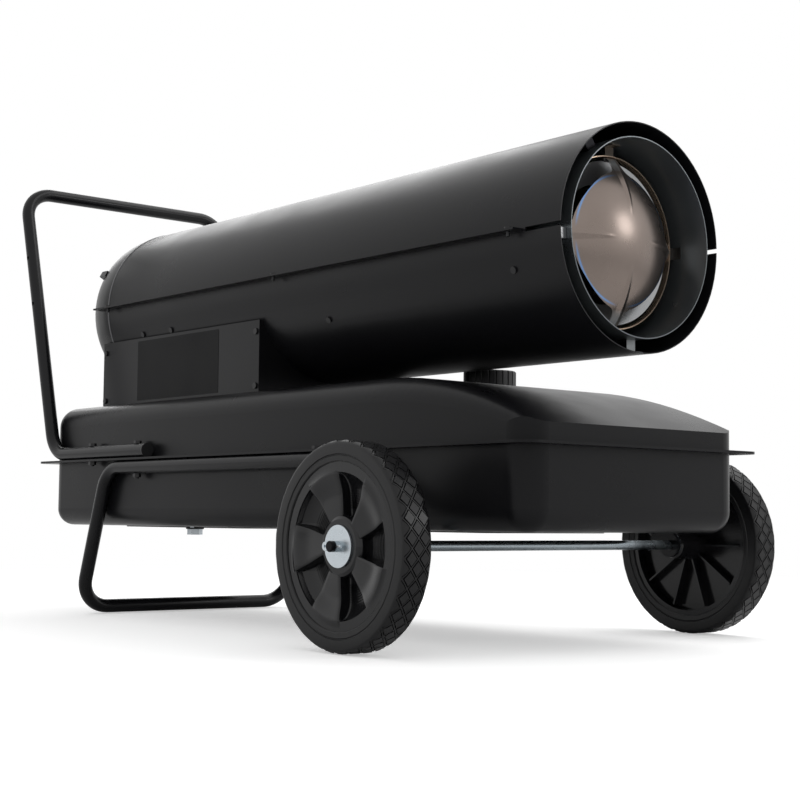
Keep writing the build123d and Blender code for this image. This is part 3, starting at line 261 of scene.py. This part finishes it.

# painted ends of the axle, bronze rim of the flame tube, and painted shade: the far-side bracket darkened and
# one spacer at the upper near side turned near black
# (finish, centre, axes, distance at which the tint starts, distance of the full tint, colour)
ROUND_TINTS_AND_PAINTED_SHADE = (
    (axle_steel, (0, 0, 0), (0, 1, 0), 0.3098, 0.3102, (0.01, 0.01, 0.011)),
    (tube_steel, (0.529, 0, 0), (1, 0, 0), 0.012, 0.004, (0.58, 0.44, 0.33)),
    # painted shade: the bracket on the far side of the outlet is darker than the others
    (bracket_steel_painted_shade, (0, 0.107, DRUM_Z), (0, 1, 1), 0.05, 0.04, (0.12, 0.115, 0.11)),
    # painted shade: the spacer at the upper near side of the outlet is near black
    (spacer_steel_painted_shade, (0, -0.069, 0.566), (0, 1, 1), 0.04, 0.03, (0.006, 0.006, 0.007)),
)
for material, centre, axes, start, full, colour in ROUND_TINTS_AND_PAINTED_SHADE:
    tint(material, lambda tree: far_from(tree, centre, axes, start, full), colour)

finishes = {
    black_coat: ["upper_shell", "lower_shell", "rear_guard", "control_box", "near_cover", "far_cover"],
    tank_coat: ["tank_upper", "tank_lower", "filler_neck"],
    tube_coat: ["handle", "support_frame"],
    black_steel: ["seam_screws", "skin_screws", "guard_clips", "frame_bolts", "frame_nuts", "cover_screws"],
    tyre_rubber: ["near_tyre", "far_tyre", "air_hose", "fuel_hose", "cap_gasket", "drain_washer"],
    hub_plastic: ["near_hub", "far_hub"],
    black_plastic: ["fuel_cap", "handle_end_plugs", "photocell", "pressure_gauge", "ignition_transformer",
                    "thermostat", "thermostat_knob", "panel_fittings", "rocker_switch"],
    zinc: ["axle_washers", "cotter_pins", "drain_plug", "motor_shaft"],
    axle_steel: ["axle"],
    galvanised: ["shield_brackets", "motor_bracket"],
    bracket_steel_painted_shade: ["tube_brackets"],
    spacer_steel_painted_shade: ["front_spacers"],
    blued_steel: ["heat_shield", "chamber_head"],
    tube_steel: ["flame_tube"],
    ring_steel: ["flame_cone"],
    stainless: ["flame_diffuser"],
    cast_metal: ["burner_head", "fan", "air_pump", "pump_rotor", "pump_cover"],
    motor_enamel: ["fan_motor"],
    brass: ["spray_nozzle", "fuel_pickup"],
    ceramic: ["igniter"],
    nylon: ["filler_strainer"],
    green_board: ["control_board"],
    smoked: ["display_window"],
}
for material, names in finishes.items():
    for name in names:
        mesh = nodes[name].data
        mesh.materials.clear()
        mesh.materials.append(material)


# ------------------------------------------------------------ mesh helpers
def finish_piece(name, mesh, material, body, smooth_angle=35):
    """New object from a mesh, smooth up to an angle, riding on a body."""
    piece = bpy.data.objects.new(name, mesh)
    scene.collection.objects.link(piece)
    mesh.materials.append(material)
    mesh.shade_smooth()
    mesh.set_sharp_from_angle(angle=radians(smooth_angle))
    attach(piece, body)
    return piece


def mesh_of(work, name):
    """Mesh from finished faces, with all normals outwards."""
    bmesh.ops.recalc_face_normals(work, faces=work.faces)
    mesh = bpy.data.meshes.new(name)
    work.normal_update()
    work.to_mesh(mesh)
    work.free()
    return mesh


# ------------------------------------------------------------ tyres
TREAD_CELLS = 34
TREAD_EDGE = 0.0178
TREAD_ROW = 0.0089
TREAD_DEPTH = 0.0021
TYRE_HALF = 0.019
TYRE_ROUND = 0.005
TYRE_INNER = 0.091
SIDE_LINE_R = 0.0985
# nested outlines of one diamond: share of its half size, share of the tread depth
NEST = ((1.0, 0.22), (0.90, 0.22), (0.86, 1.0), (0.78, 1.0), (0.73, 0.0))
# rounding between tread and side, in degrees of a quarter turn
SHOULDER = (9, 36, 62, 90)
# side wall from the rounding to the bore: radius, inset from the tyre's side
SIDE_WALL = ((SIDE_LINE_R + 0.0010, 0.0001), (SIDE_LINE_R + 0.0003, 0.0012), (SIDE_LINE_R - 0.0003, 0.0012),
             (SIDE_LINE_R - 0.0012, 0.0004), (TYRE_INNER + 0.0010, 0.0006), (TYRE_INNER, 0.0018))
# corners of one diamond, in cells along and rows across
DIAMOND = ((-0.5, 0), (0, 1), (0.5, 0), (0, -1), (-0.5, 0))
# corners that agree on these grids share a vertex: turn, across, radius
TURN_GRID, ACROSS_GRID, RADIUS_GRID = 4000, 1e7, 1e6


def crown(across):
    """Tyre radius at a distance from its middle plane."""
    over = max(0.0, abs(across) - (TYRE_HALF - TYRE_ROUND))
    return WHEEL_R - TYRE_ROUND + sqrt(TYRE_ROUND ** 2 - over ** 2)


def tread_stations():
    """Turns at which the tread's edge has a point, each with its share of the depth."""
    stations = []
    for cell in range(TREAD_CELLS):
        stations += [(cell - 0.5 * share, depth) for share, depth in NEST]
        stations += [(cell + 0.5 * share, depth) for share, depth in reversed(NEST)]
    return stations


def tyre_mesh(middle_y):
    """Solid tyre with a lattice tread, rounded shoulders and a line round each side."""
    work = bmesh.new()
    known = {}

    def vertex(turn, across, radius):
        """Shared vertex; turn is counted in tread cells."""
        key = (round((turn % TREAD_CELLS) * TURN_GRID), round(across * ACROSS_GRID),
               round(radius * RADIUS_GRID))
        if key not in known:
            angle = 2 * pi * turn / TREAD_CELLS
            known[key] = work.verts.new((WHEEL_X + radius * cos(angle), middle_y + across,
                                         WHEEL_R + radius * sin(angle)))
        return known[key]

    def face(corners):
        """Face made once, without corners that fall together."""
        corners = [v for n, v in enumerate(corners) if v != corners[n - 1]]
        if len(corners) > 2 and work.faces.get(corners) is None:
            work.faces.new(corners)

    def diamond(turn, across, corners):
        """Block in its groove inside a lower lattice; corners run round, or half round at an edge."""
        def point(corner, share, depth):
            spot = across + corner[1] * share * TREAD_ROW
            return vertex(turn + corner[0] * share, spot, crown(spot) - depth * TREAD_DEPTH)

        outline = []
        for first, second in zip(corners, corners[1:]):
            outline += [first, ((first[0] + second[0]) / 2, (first[1] + second[1]) / 2)]
        outline.append(corners[-1])
        for outer, inner in zip(NEST, NEST[1:]):
            for first, second in zip(outline, outline[1:]):
                face([point(first, *outer), point(second, *outer),
                      point(second, *inner), point(first, *inner)])
        closed = corners[0] == corners[-1]
        face([point(corner, *NEST[-1]) for corner in (outline[:-1] if closed else outline)])

    rows = round(2 * TREAD_EDGE / TREAD_ROW)
    for cell in range(TREAD_CELLS):
        for row in range(rows + 1):
            corners = DIAMOND[:3] if row == 0 else DIAMOND[2:] if row == rows else DIAMOND
            diamond(cell + (row % 2) * 0.5, row * TREAD_ROW - TREAD_EDGE, corners)

    stations = tread_stations()
    lean = asin((TREAD_EDGE - TYRE_HALF + TYRE_ROUND) / TYRE_ROUND)
    for side in (-1, 1):
        columns = []
        for turn, depth in stations:
            column = [vertex(turn, side * TREAD_EDGE, crown(TREAD_EDGE) - depth * TREAD_DEPTH)]
            for degrees in SHOULDER:
                lift = lean + (pi / 2 - lean) * degrees / 90
                column.append(vertex(turn, side * (TYRE_HALF - TYRE_ROUND + TYRE_ROUND * sin(lift)),
                                     WHEEL_R - TYRE_ROUND + TYRE_ROUND * cos(lift)))
            column += [vertex(turn, side * (TYRE_HALF - inset), radius) for radius, inset in SIDE_WALL]
            columns.append(column)
        for first, second in zip(columns, columns[1:] + columns[:1]):
            for n in range(len(first) - 1):
                face([first[n], second[n], second[n + 1], first[n + 1]])

    bore = TYRE_HALF - SIDE_WALL[-1][1]
    turns = [turn for turn, depth in stations]
    for first, second in zip(turns, turns[1:] + turns[:1]):
        face([vertex(first, -bore, TYRE_INNER), vertex(second, -bore, TYRE_INNER),
              vertex(second, bore, TYRE_INNER), vertex(first, bore, TYRE_INNER)])
    return mesh_of(work, "tyre")


for side_name, side in SIDES:
    tyre = finish_piece(f"{side_name}_tread_tyre", tyre_mesh(side * WHEEL_Y), tyre_rubber,
                        f"{side_name}_wheel", 28)
    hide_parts(f"{side_name}_tyre")


# ------------------------------------------------------------ hub ridges
RIDGES = 10
RIDGE_IN = 0.0405
RIDGE_PITCH = 0.0026
# one ridge: distance out from its start, height above the web
RIDGE = ((0.0, 0.0002), (0.0007, 0.0013), (0.0014, 0.0013), (0.0021, 0.0002))
# the ring below the ridges: inner and outer radius, height of its underside
RIDGE_ENDS = (0.040, 0.0665)
RIDGE_BASE = -0.0008
RIDGE_STEPS = 96


def ridge_mesh(side):
    """Fine rings turned about the wheel's axis, standing on the web."""
    profile = [(RIDGE_ENDS[0], RIDGE_BASE)]
    for ridge in range(RIDGES):
        profile += [(RIDGE_IN + ridge * RIDGE_PITCH + out, height) for out, height in RIDGE]
    profile.append((RIDGE_ENDS[1], RIDGE_BASE))
    work = bmesh.new()
    rings = []
    for step in range(RIDGE_STEPS):
        angle = 2 * pi * step / RIDGE_STEPS
        rings.append([work.verts.new((WHEEL_X + radius * cos(angle), side * (WHEEL_Y + height),
                                      WHEEL_R + radius * sin(angle))) for radius, height in profile])
    for first, second in zip(rings, rings[1:] + rings[:1]):
        for n in range(len(profile)):
            m = (n + 1) % len(profile)
            work.faces.new([first[n], second[n], second[m], first[m]])
    return mesh_of(work, "hub_ridges")


for side_name, side in SIDES:
    finish_piece(f"{side_name}_hub_ridges", ridge_mesh(side), hub_plastic,
                 f"{side_name}_wheel", 20)


# ------------------------------------------------------------ hub face
SPOKES = 5
SPOKE_TWIST = 5.0
# radius and half width of a spoke at its root and at its end, and what it gains over the solid
SPOKE_ROOT = (0.029, 0.0095)
SPOKE_END = (0.082, 0.026)
SPOKE_GAIN = 0.0005
# how a spoke widens and turns on its way out
WIDTH_CURVE = 0.45
TWIST_CURVE = 0.6
SPOKE_TOP = 0.2993
SPOKE_SLANT = 0.0009
# rise of a spoke towards the rim: radius where it starts, its length, its height
SCOOP = (0.056, 0.023, 0.0042)
SPOKE_STEPS = 8
POCKET_STEPS = 7
# distances in from a spoke's edge: the foot of its wall outside, its rounding inside
WALL_FOOT = (-0.0024, -0.0016, -0.0010, -0.0006)
ROUND = (0.0, 0.0002, 0.0006, 0.0012, 0.0020)
# the foot reaches this share of the wall, along a curve
WALL_RISE = 0.55
WALL_CURVE = 3
# planes of the web and of the rim, the sweep between them (start, width), and the rim's lip
FLOOR_Y = WHEEL_Y + 0.0002
FACE_Y = 0.30365
BOWL = (0.054, 0.0256)
FACE_FROM = 0.0799
LIP_FROM = 0.0905
LIP_DROP = 0.0006
FACE_BACK = WHEEL_Y - 0.001
FACE_RADII = (0.031, 0.0335, 0.036, 0.040, 0.045, 0.050, 0.055, 0.060, 0.0635, 0.0655, 0.0675, 0.0695, 0.0713,
              0.0730, 0.0746, 0.0760, 0.0772, 0.0782, 0.0790, 0.0795, 0.0798, 0.0812, 0.0870, 0.0903, 0.0906)


def ease(value):
    """Smooth step from 0 to 1."""
    value = min(1.0, max(0.0, value))
    return value * value * (3 - 2 * value)


def bowl(radius):
    """Height of the web as it sweeps up into the rim."""
    rise = min(1.0, max(0.0, (radius - BOWL[0]) / BOWL[1]))
    return FLOOR_Y + (FACE_Y - FLOOR_Y) * (1 - sqrt(1 - rise ** 2))


def spoke_top(radius, share):
    """Height of a spoke; share runs from -1 to 1 across it."""
    return SPOKE_TOP + SPOKE_SLANT * (1 + share) + SCOOP[2] * ease((radius - SCOOP[0]) / SCOOP[1])


def face_height(radius, offset, half, edge):
    """Height of the hub's face; edge is the distance in from the spoke's side, or None in a pocket."""
    if radius > LIP_FROM:
        return FACE_Y - LIP_DROP
    if radius > FACE_FROM:
        return FACE_Y
    floor = bowl(radius)
    if edge is None:
        return floor
    wall = spoke_top(radius, max(-1.0, min(1.0, offset / half))) - ROUND[-1]
    if edge >= 0:
        return max(floor, wall + sqrt(ROUND[-1] ** 2 - (ROUND[-1] - edge) ** 2))
    drop = (edge - WALL_FOOT[0]) / (WALL_FOOT[-1] - WALL_FOOT[0])
    return max(floor, floor + (wall - floor) * WALL_RISE * drop ** WALL_CURVE)


def spoke_span(radius):
    """Half width of a spoke and its turn away from the radial line."""
    grow = (min(radius, SPOKE_END[0]) - SPOKE_ROOT[0]) / (SPOKE_END[0] - SPOKE_ROOT[0])
    root = asin(SPOKE_ROOT[1] / SPOKE_ROOT[0])
    end = asin(SPOKE_END[1] / SPOKE_END[0])
    half = (root + (end - root) * grow ** WIDTH_CURVE) * radius + SPOKE_GAIN
    return half, radians(SPOKE_TWIST) * grow ** TWIST_CURVE


def spoke_offsets(radius, half):
    """Points across one spoke and the pocket after it, each with its distance in from the edge."""
    edges = WALL_FOOT + ROUND
    inner = half - ROUND[-1]
    gap = pi / SPOKES * radius - half + WALL_FOOT[0]
    across = [(edge - half, edge) for edge in edges]
    across += [(-inner + 2 * inner * step / SPOKE_STEPS, ROUND[-1]) for step in range(1, SPOKE_STEPS)]
    across += [(half - edge, edge) for edge in reversed(edges)]
    across += [(half - WALL_FOOT[0] + 2 * gap * step / POCKET_STEPS, None) for step in range(1, POCKET_STEPS)]
    return across


def hub_face_mesh(side):
    """Moulded face of the wheel: five skewed spokes that run into a bowl-shaped rim."""
    work = bmesh.new()
    rings = []
    for radius in FACE_RADII:
        half, twist = spoke_span(radius)
        ring = []
        for spoke in range(SPOKES):
            centre = radians(180 - SPOKE_TWIST / 2 + 360 / SPOKES * spoke) + twist
            for offset, edge in spoke_offsets(radius, half):
                angle = centre + offset / radius
                ring.append(work.verts.new((WHEEL_X - radius * cos(angle) * side,
                                            side * face_height(radius, offset, half, edge),
                                            WHEEL_R + radius * sin(angle))))
        rings.append(ring)
    back = [[work.verts.new((v.co.x, side * FACE_BACK, v.co.z)) for v in ring]
            for ring in (rings[0], rings[-1])]
    loops = [back[0]] + rings + [back[1], back[0]]
    count = len(rings[0])
    for inner, outer in zip(loops, loops[1:]):
        for n in range(count):
            m = (n + 1) % count
            work.faces.new([inner[n], outer[n], outer[m], inner[m]])
    return mesh_of(work, "hub_face")


for side_name, side in SIDES:
    finish_piece(f"{side_name}_hub_face", hub_face_mesh(side), hub_plastic,
                 f"{side_name}_wheel", 60)


# ------------------------------------------------------------ hot outlet's domed cross
BALL_X = 0.406
BALL_R = 0.156
# outline: the disc and its swell between the arms, the arms, the rounding of their necks
DISC_R = 0.0777
DISC_SWELL = 0.0023
ARM_HALF = 0.008
NECK_ROUND = 0.014
NECK_AT = 0.079
NECK_STEPS = 7
DISC_STEPS = 9
DOME_RINGS = 26
# share of the outline at which the rings start round the middle face
DOME_CORE = 0.04
# the arms run over the dome to these radii, then bend back (radius, distance back) along the tube's wall
ARM_RADII = (0.0920, 0.0933, 0.0946, 0.0958, 0.097)
TUBE_WALL = 0.0993
BEND = ((0.0983, 0.0013), (0.09905, 0.0029), (TUBE_WALL, 0.005), (TUBE_WALL, 0.010))
BEND_ROWS = 3
TAB_END_X = 0.507
# normal at the end of the dome, forwards and outwards
TIP_NORMAL = (0.78, 0.62)
# ribs: where they start, how long and in what curve they grow, half width per distance out, height
RIB_START = 0.030
RIB_LENGTH = 0.060
RIB_CURVE = 0.8
RIB_SPREAD = 0.0873
RIB_RISE = 0.0031
# places across an arm
RIB_TS = (0.0, 0.001, 0.002, 0.003, 0.004, 0.005, 0.006, 0.007, 0.008)
QUARTERS = ((1, 0), (0, 1), (-1, 0), (0, -1))


def disc_radius(angle):
    """Outline of the cross between its arms."""
    return DISC_R + DISC_SWELL * cos(4 * angle)


def rib_lift(u, t):
    """Height of the pressed rib at a distance along and across an arm."""
    along = min(1.0, max(0.0, (u - RIB_START) / RIB_LENGTH))
    share = min(1.0, abs(t) / (RIB_SPREAD * max(u, 0.001)))
    return RIB_RISE * along ** RIB_CURVE * (1 - share)


def quarter_outline():
    """Outline from the middle of one arm to just before the next, along and across that arm."""
    neck_t = ARM_HALF + NECK_ROUND
    neck_r = disc_radius(asin(neck_t / (NECK_AT + NECK_ROUND))) + NECK_ROUND
    neck_u = sqrt(neck_r ** 2 - neck_t ** 2)
    half = [(sqrt(neck_u ** 2 + ARM_HALF ** 2 - t * t), t) for t in RIB_TS]
    sweep = pi / 2 - atan2(neck_t, neck_u)
    for step in range(1, NECK_STEPS + 1):
        angle = -pi / 2 - sweep * step / NECK_STEPS
        half.append((neck_u + NECK_ROUND * cos(angle), neck_t + NECK_ROUND * sin(angle)))
    start = atan2(half[-1][1], half[-1][0])
    for step in range(1, DISC_STEPS + 1):
        angle = start + (pi / 4 - start) * step / DISC_STEPS
        half.append((disc_radius(angle) * cos(angle), disc_radius(angle) * sin(angle)))
    return half + [(t, u) for u, t in reversed(half[1:-1])]


def cross_mesh():
    """Pressed sheet: a ball cap with four ribbed arms bent back along the tube's wall."""
    work = bmesh.new()

    def dome_point(y, z):
        """Front point with the rib's lift, and the ball's normal there."""
        along, across = max(abs(y), abs(z)), min(abs(y), abs(z))
        x = sqrt(BALL_R ** 2 - y * y - z * z)
        point = Vector((BALL_X + x + rib_lift(along, across), y, DRUM_Z + z))
        return point, Vector((x, y, z)).normalized()

    def pair(point, normal):
        """Front and back vertex of the sheet."""
        return work.verts.new(point), work.verts.new(point - normal * SHEET)

    def strip(inner, outer, n, m):
        """Front and back face between two rows of pairs."""
        work.faces.new([inner[n][0], outer[n][0], outer[m][0], inner[m][0]])
        work.faces.new([inner[n][1], inner[m][1], outer[m][1], outer[n][1]])

    quarter = quarter_outline()
    outline = [(u * c - t * s, u * s + t * c) for c, s in QUARTERS for u, t in quarter]
    count = len(outline)
    rings = []
    for n in range(DOME_RINGS + 1):
        share = DOME_CORE + (1 - DOME_CORE) * n / DOME_RINGS
        rings.append([pair(*dome_point(y * share, z * share)) for y, z in outline])
    for inner, outer in zip(rings, rings[1:]):
        for n in range(count):
            strip(inner, outer, n, (n + 1) % count)
    work.faces.new([v[0] for v in rings[0]])
    work.faces.new([v[1] for v in reversed(rings[0])])

    edge = rings[-1]
    covered = set()
    per_side = len(RIB_TS) - 1
    spans = [-t for t in reversed(RIB_TS[1:])] + list(RIB_TS)
    wall_x = BALL_X + sqrt(BALL_R ** 2 - ARM_RADII[-1] ** 2)
    path = [(radius, None) for radius in ARM_RADII]
    path += [(radius, wall_x - back) for radius, back in BEND]
    path.append((TUBE_WALL, TAB_END_X))
    for turn, (c, s) in enumerate(QUARTERS):
        picks = [(turn * len(quarter) + k) % count for k in range(-per_side, per_side + 1)]
        covered.update(picks[:-1])
        rows = [[edge[k] for k in picks]]
        for level, (radius, x) in enumerate(path):
            row = []
            for t in spans:
                u = sqrt(radius ** 2 - t * t)
                y, z = u * c - t * s, u * s + t * c
                if x is None:
                    row.append(pair(*dome_point(y, z)))
                    continue
                lean = min(1.0, (level - len(ARM_RADII) + 1) / BEND_ROWS)
                out = Vector((0, y, z)).normalized()
                forwards = Vector((TIP_NORMAL[0] * (1 - lean), 0, 0))
                normal = forwards + out * (TIP_NORMAL[1] + (1 - TIP_NORMAL[1]) * lean)
                point = Vector((x + rib_lift(u, t) * (1 - lean), y, DRUM_Z + z))
                row.append(pair(point, normal.normalized()))
            rows.append(row)
        for first, second in zip(rows, rows[1:]):
            for k in range(len(spans) - 1):
                strip(first, second, k, k + 1)
            for k in (0, len(spans) - 1):
                work.faces.new([first[k][0], first[k][1], second[k][1], second[k][0]])
        last = rows[-1]
        for k in range(len(spans) - 1):
            work.faces.new([last[k][0], last[k][1], last[k + 1][1], last[k + 1][0]])
    for n in range(count):
        if n not in covered:
            m = (n + 1) % count
            work.faces.new([edge[n][0], edge[n][1], edge[m][1], edge[m][0]])
    return mesh_of(work, "domed_cross")


domed_cross = finish_piece("domed_cross", cross_mesh(), stainless, "machine", 50)
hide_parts("flame_diffuser")


# ------------------------------------------------------------ drum's bead, tab at its rim, bare label film
BEAD_X = -0.3992
BEAD_HALF = 0.0016
BEAD_LIFT = 0.0007
BEAD_SUNK = 0.0006
# turn round the drum, in degrees
BEAD_START = -37
BEAD_SWEEP = 254
BEAD_STEPS = 90
BEAD_ROUND_STEPS = 6
TAB_X = 0.5668
TAB_ANGLE = 184
TAB_HALF = 0.006
TAB_FOOT = 0.009
TAB_LIP = 0.0055
SHIELD_R = 0.1153
SKIN_R = 0.1309
LABEL_X = (-0.317, -0.097)
LABEL_Z = (0.318, 0.4075)
LABEL_Y = -0.1263
LABEL_SHEET = 0.0006
LABEL_CORNER = 0.002
CORNER_STEPS = 4


def bead_mesh():
    """Rolled bead where the drum's shoulder begins, open over the control box."""
    work = bmesh.new()
    profile = [(-BEAD_HALF, DRUM_R - BEAD_SUNK)]
    for step in range(BEAD_ROUND_STEPS + 1):
        angle = pi - pi * step / BEAD_ROUND_STEPS
        profile.append((BEAD_HALF * cos(angle), DRUM_R + BEAD_LIFT * sin(angle)))
    profile.append((BEAD_HALF, DRUM_R - BEAD_SUNK))
    rings = []
    for step in range(BEAD_STEPS + 1):
        angle = radians(BEAD_START + BEAD_SWEEP * step / BEAD_STEPS)
        rings.append([work.verts.new((BEAD_X + along, radius * cos(angle), DRUM_Z + radius * sin(angle)))
                      for along, radius in profile])
    for first, second in zip(rings, rings[1:]):
        for n in range(len(profile)):
            work.faces.new([first[n - 1], second[n - 1], second[n], first[n]])
    work.faces.new(rings[0])
    work.faces.new(rings[-1][::-1])
    return mesh_of(work, "shoulder_bead")


def slab(name, front, back):
    """Solid between two matching outlines."""
    work = bmesh.new()
    front, back = [[work.verts.new(point) for point in outline] for outline in (front, back)]
    work.faces.new(front)
    work.faces.new(back[::-1])
    for n in range(len(front)):
        work.faces.new([front[n - 1], back[n - 1], back[n], front[n]])
    return mesh_of(work, name)


def tab_mesh():
    """Z-shaped sheet tab between the heat shield and the drum, close behind their rims."""
    outline = [(TAB_X - TAB_FOOT, SHIELD_R), (TAB_X, SHIELD_R), (TAB_X, SKIN_R - SHEET),
               (TAB_X + TAB_LIP, SKIN_R - SHEET), (TAB_X + TAB_LIP, SKIN_R), (TAB_X - SHEET, SKIN_R),
               (TAB_X - SHEET, SHIELD_R + SHEET), (TAB_X - TAB_FOOT, SHIELD_R + SHEET)]
    c, s = cos(radians(TAB_ANGLE)), sin(radians(TAB_ANGLE))
    sides = [[(x, r * c - across * s, DRUM_Z + r * s + across * c) for x, r in outline]
             for across in (-TAB_HALF, TAB_HALF)]
    return slab("rim_tab", *sides)


def label_mesh():
    """Thin rounded plate facing -Y."""
    left, right = LABEL_X[0] + LABEL_CORNER, LABEL_X[1] - LABEL_CORNER
    low, high = LABEL_Z[0] + LABEL_CORNER, LABEL_Z[1] - LABEL_CORNER
    outline = []
    for cx, cz, start in ((right, low, -90), (right, high, 0), (left, high, 90), (left, low, 180)):
        for step in range(CORNER_STEPS + 1):
            angle = radians(start + 90 * step / CORNER_STEPS)
            outline.append((cx + LABEL_CORNER * cos(angle), cz + LABEL_CORNER * sin(angle)))
    return slab("label", *[[(x, y, z) for x, z in outline] for y in (LABEL_Y, LABEL_Y + LABEL_SHEET)])


# the bead wears the painted highlight colour
finish_piece("shoulder_bead", bead_mesh(), bead_painted_highlight, "machine", 60)
finish_piece("rim_tab", tab_mesh(), ring_steel, "machine", 30)
finish_piece("bare_label", label_mesh(), label_film, "machine")


# ------------------------------------------------------------ floor, light, world
FLOOR_SIZE = 30
FLOOR_Z = -0.0005
FLOOR_WHITE = 0.86
# glow that only the camera sees
FLOOR_LIFT = 0.40
# distances from the middle over which the floor runs out to plain white
FLOOR_FADE = (0.9, 2.4)
# strength of the world as a light; where it is seen it has a strength of 1
WORLD_LIGHT = 0.75


def make_floor():
    """White floor that keeps the shadow near the machine and runs out to plain white."""
    bpy.ops.mesh.primitive_plane_add(size=FLOOR_SIZE, location=(0, 0, FLOOR_Z))
    floor = bpy.context.object
    floor.name = "studio_floor"
    material, tree, shader = new_material("studio_floor")
    shader.inputs["Base Color"].default_value = (FLOOR_WHITE, FLOOR_WHITE, FLOOR_WHITE, 1)
    shader.inputs["Roughness"].default_value = 0.9
    shader.inputs["Specular IOR Level"].default_value = 0.1
    shader.inputs["Emission Color"].default_value = (1, 1, 1, 1)
    camera_ray = tree.nodes.new("ShaderNodeLightPath").outputs["Is Camera Ray"]
    link(tree, calculate(tree, "MULTIPLY", camera_ray, FLOOR_LIFT), shader.inputs["Emission Strength"])
    glow = tree.nodes.new("ShaderNodeEmission")
    blend = tree.nodes.new("ShaderNodeMixShader")
    away = spread(tree, on_vector(tree, "LENGTH", place(tree)), *FLOOR_FADE, smooth=True)
    link(tree, calculate(tree, "MULTIPLY", camera_ray, away), blend.inputs["Fac"])
    link(tree, shader.outputs["BSDF"], blend.inputs[1])
    link(tree, glow.outputs["Emission"], blend.inputs[2])
    link(tree, blend.outputs["Shader"], tree.nodes["Material Output"].inputs["Surface"])
    floor.data.materials.append(material)


def softbox(name, location, target, size, watts, tall=None):
    """Area lamp aimed at a point, square or with its own height."""
    data = bpy.data.lights.new(name, "AREA")
    data.energy = watts
    data.size = size
    if tall:
        data.shape = "RECTANGLE"
        data.size_y = tall
    lamp = bpy.data.objects.new(name, data)
    lamp.location = location
    aim = Vector(location) - Vector(target)
    lamp.rotation_euler = aim.to_track_quat("Z", "Y").to_euler()
    scene.collection.objects.link(lamp)


def make_world():
    """Even light that is plain white where the camera, a gloss or a glass shows it."""
    world = bpy.data.worlds.new("studio")
    scene.world = world
    world.use_nodes = True
    tree = world.node_tree
    back = tree.nodes["Background"]
    rays = tree.nodes.new("ShaderNodeLightPath").outputs
    seen = calculate(tree, "MAXIMUM", rays["Is Camera Ray"], rays["Is Transmission Ray"])
    seen = calculate(tree, "MAXIMUM", seen, rays["Is Glossy Ray"])
    back.inputs["Color"].default_value = (1, 1, 1, 1)
    link(tree, spread(tree, seen, 0.0, 1.0, WORLD_LIGHT, 1.0), back.inputs["Strength"])


make_floor()
softbox("back_softbox", (-1.95, 0.95, 1.75), (0, 0, 0.5), 1.5, 11, 1.5)
softbox("top_softbox", (0.3, 1.2, 2.3), (0, 0, 0.4), 2.0, 16, 1.2)
softbox("key_softbox", (2.38, 1.50, 1.27), (0.5, 0, 0.4), 0.55, 6)
make_world()
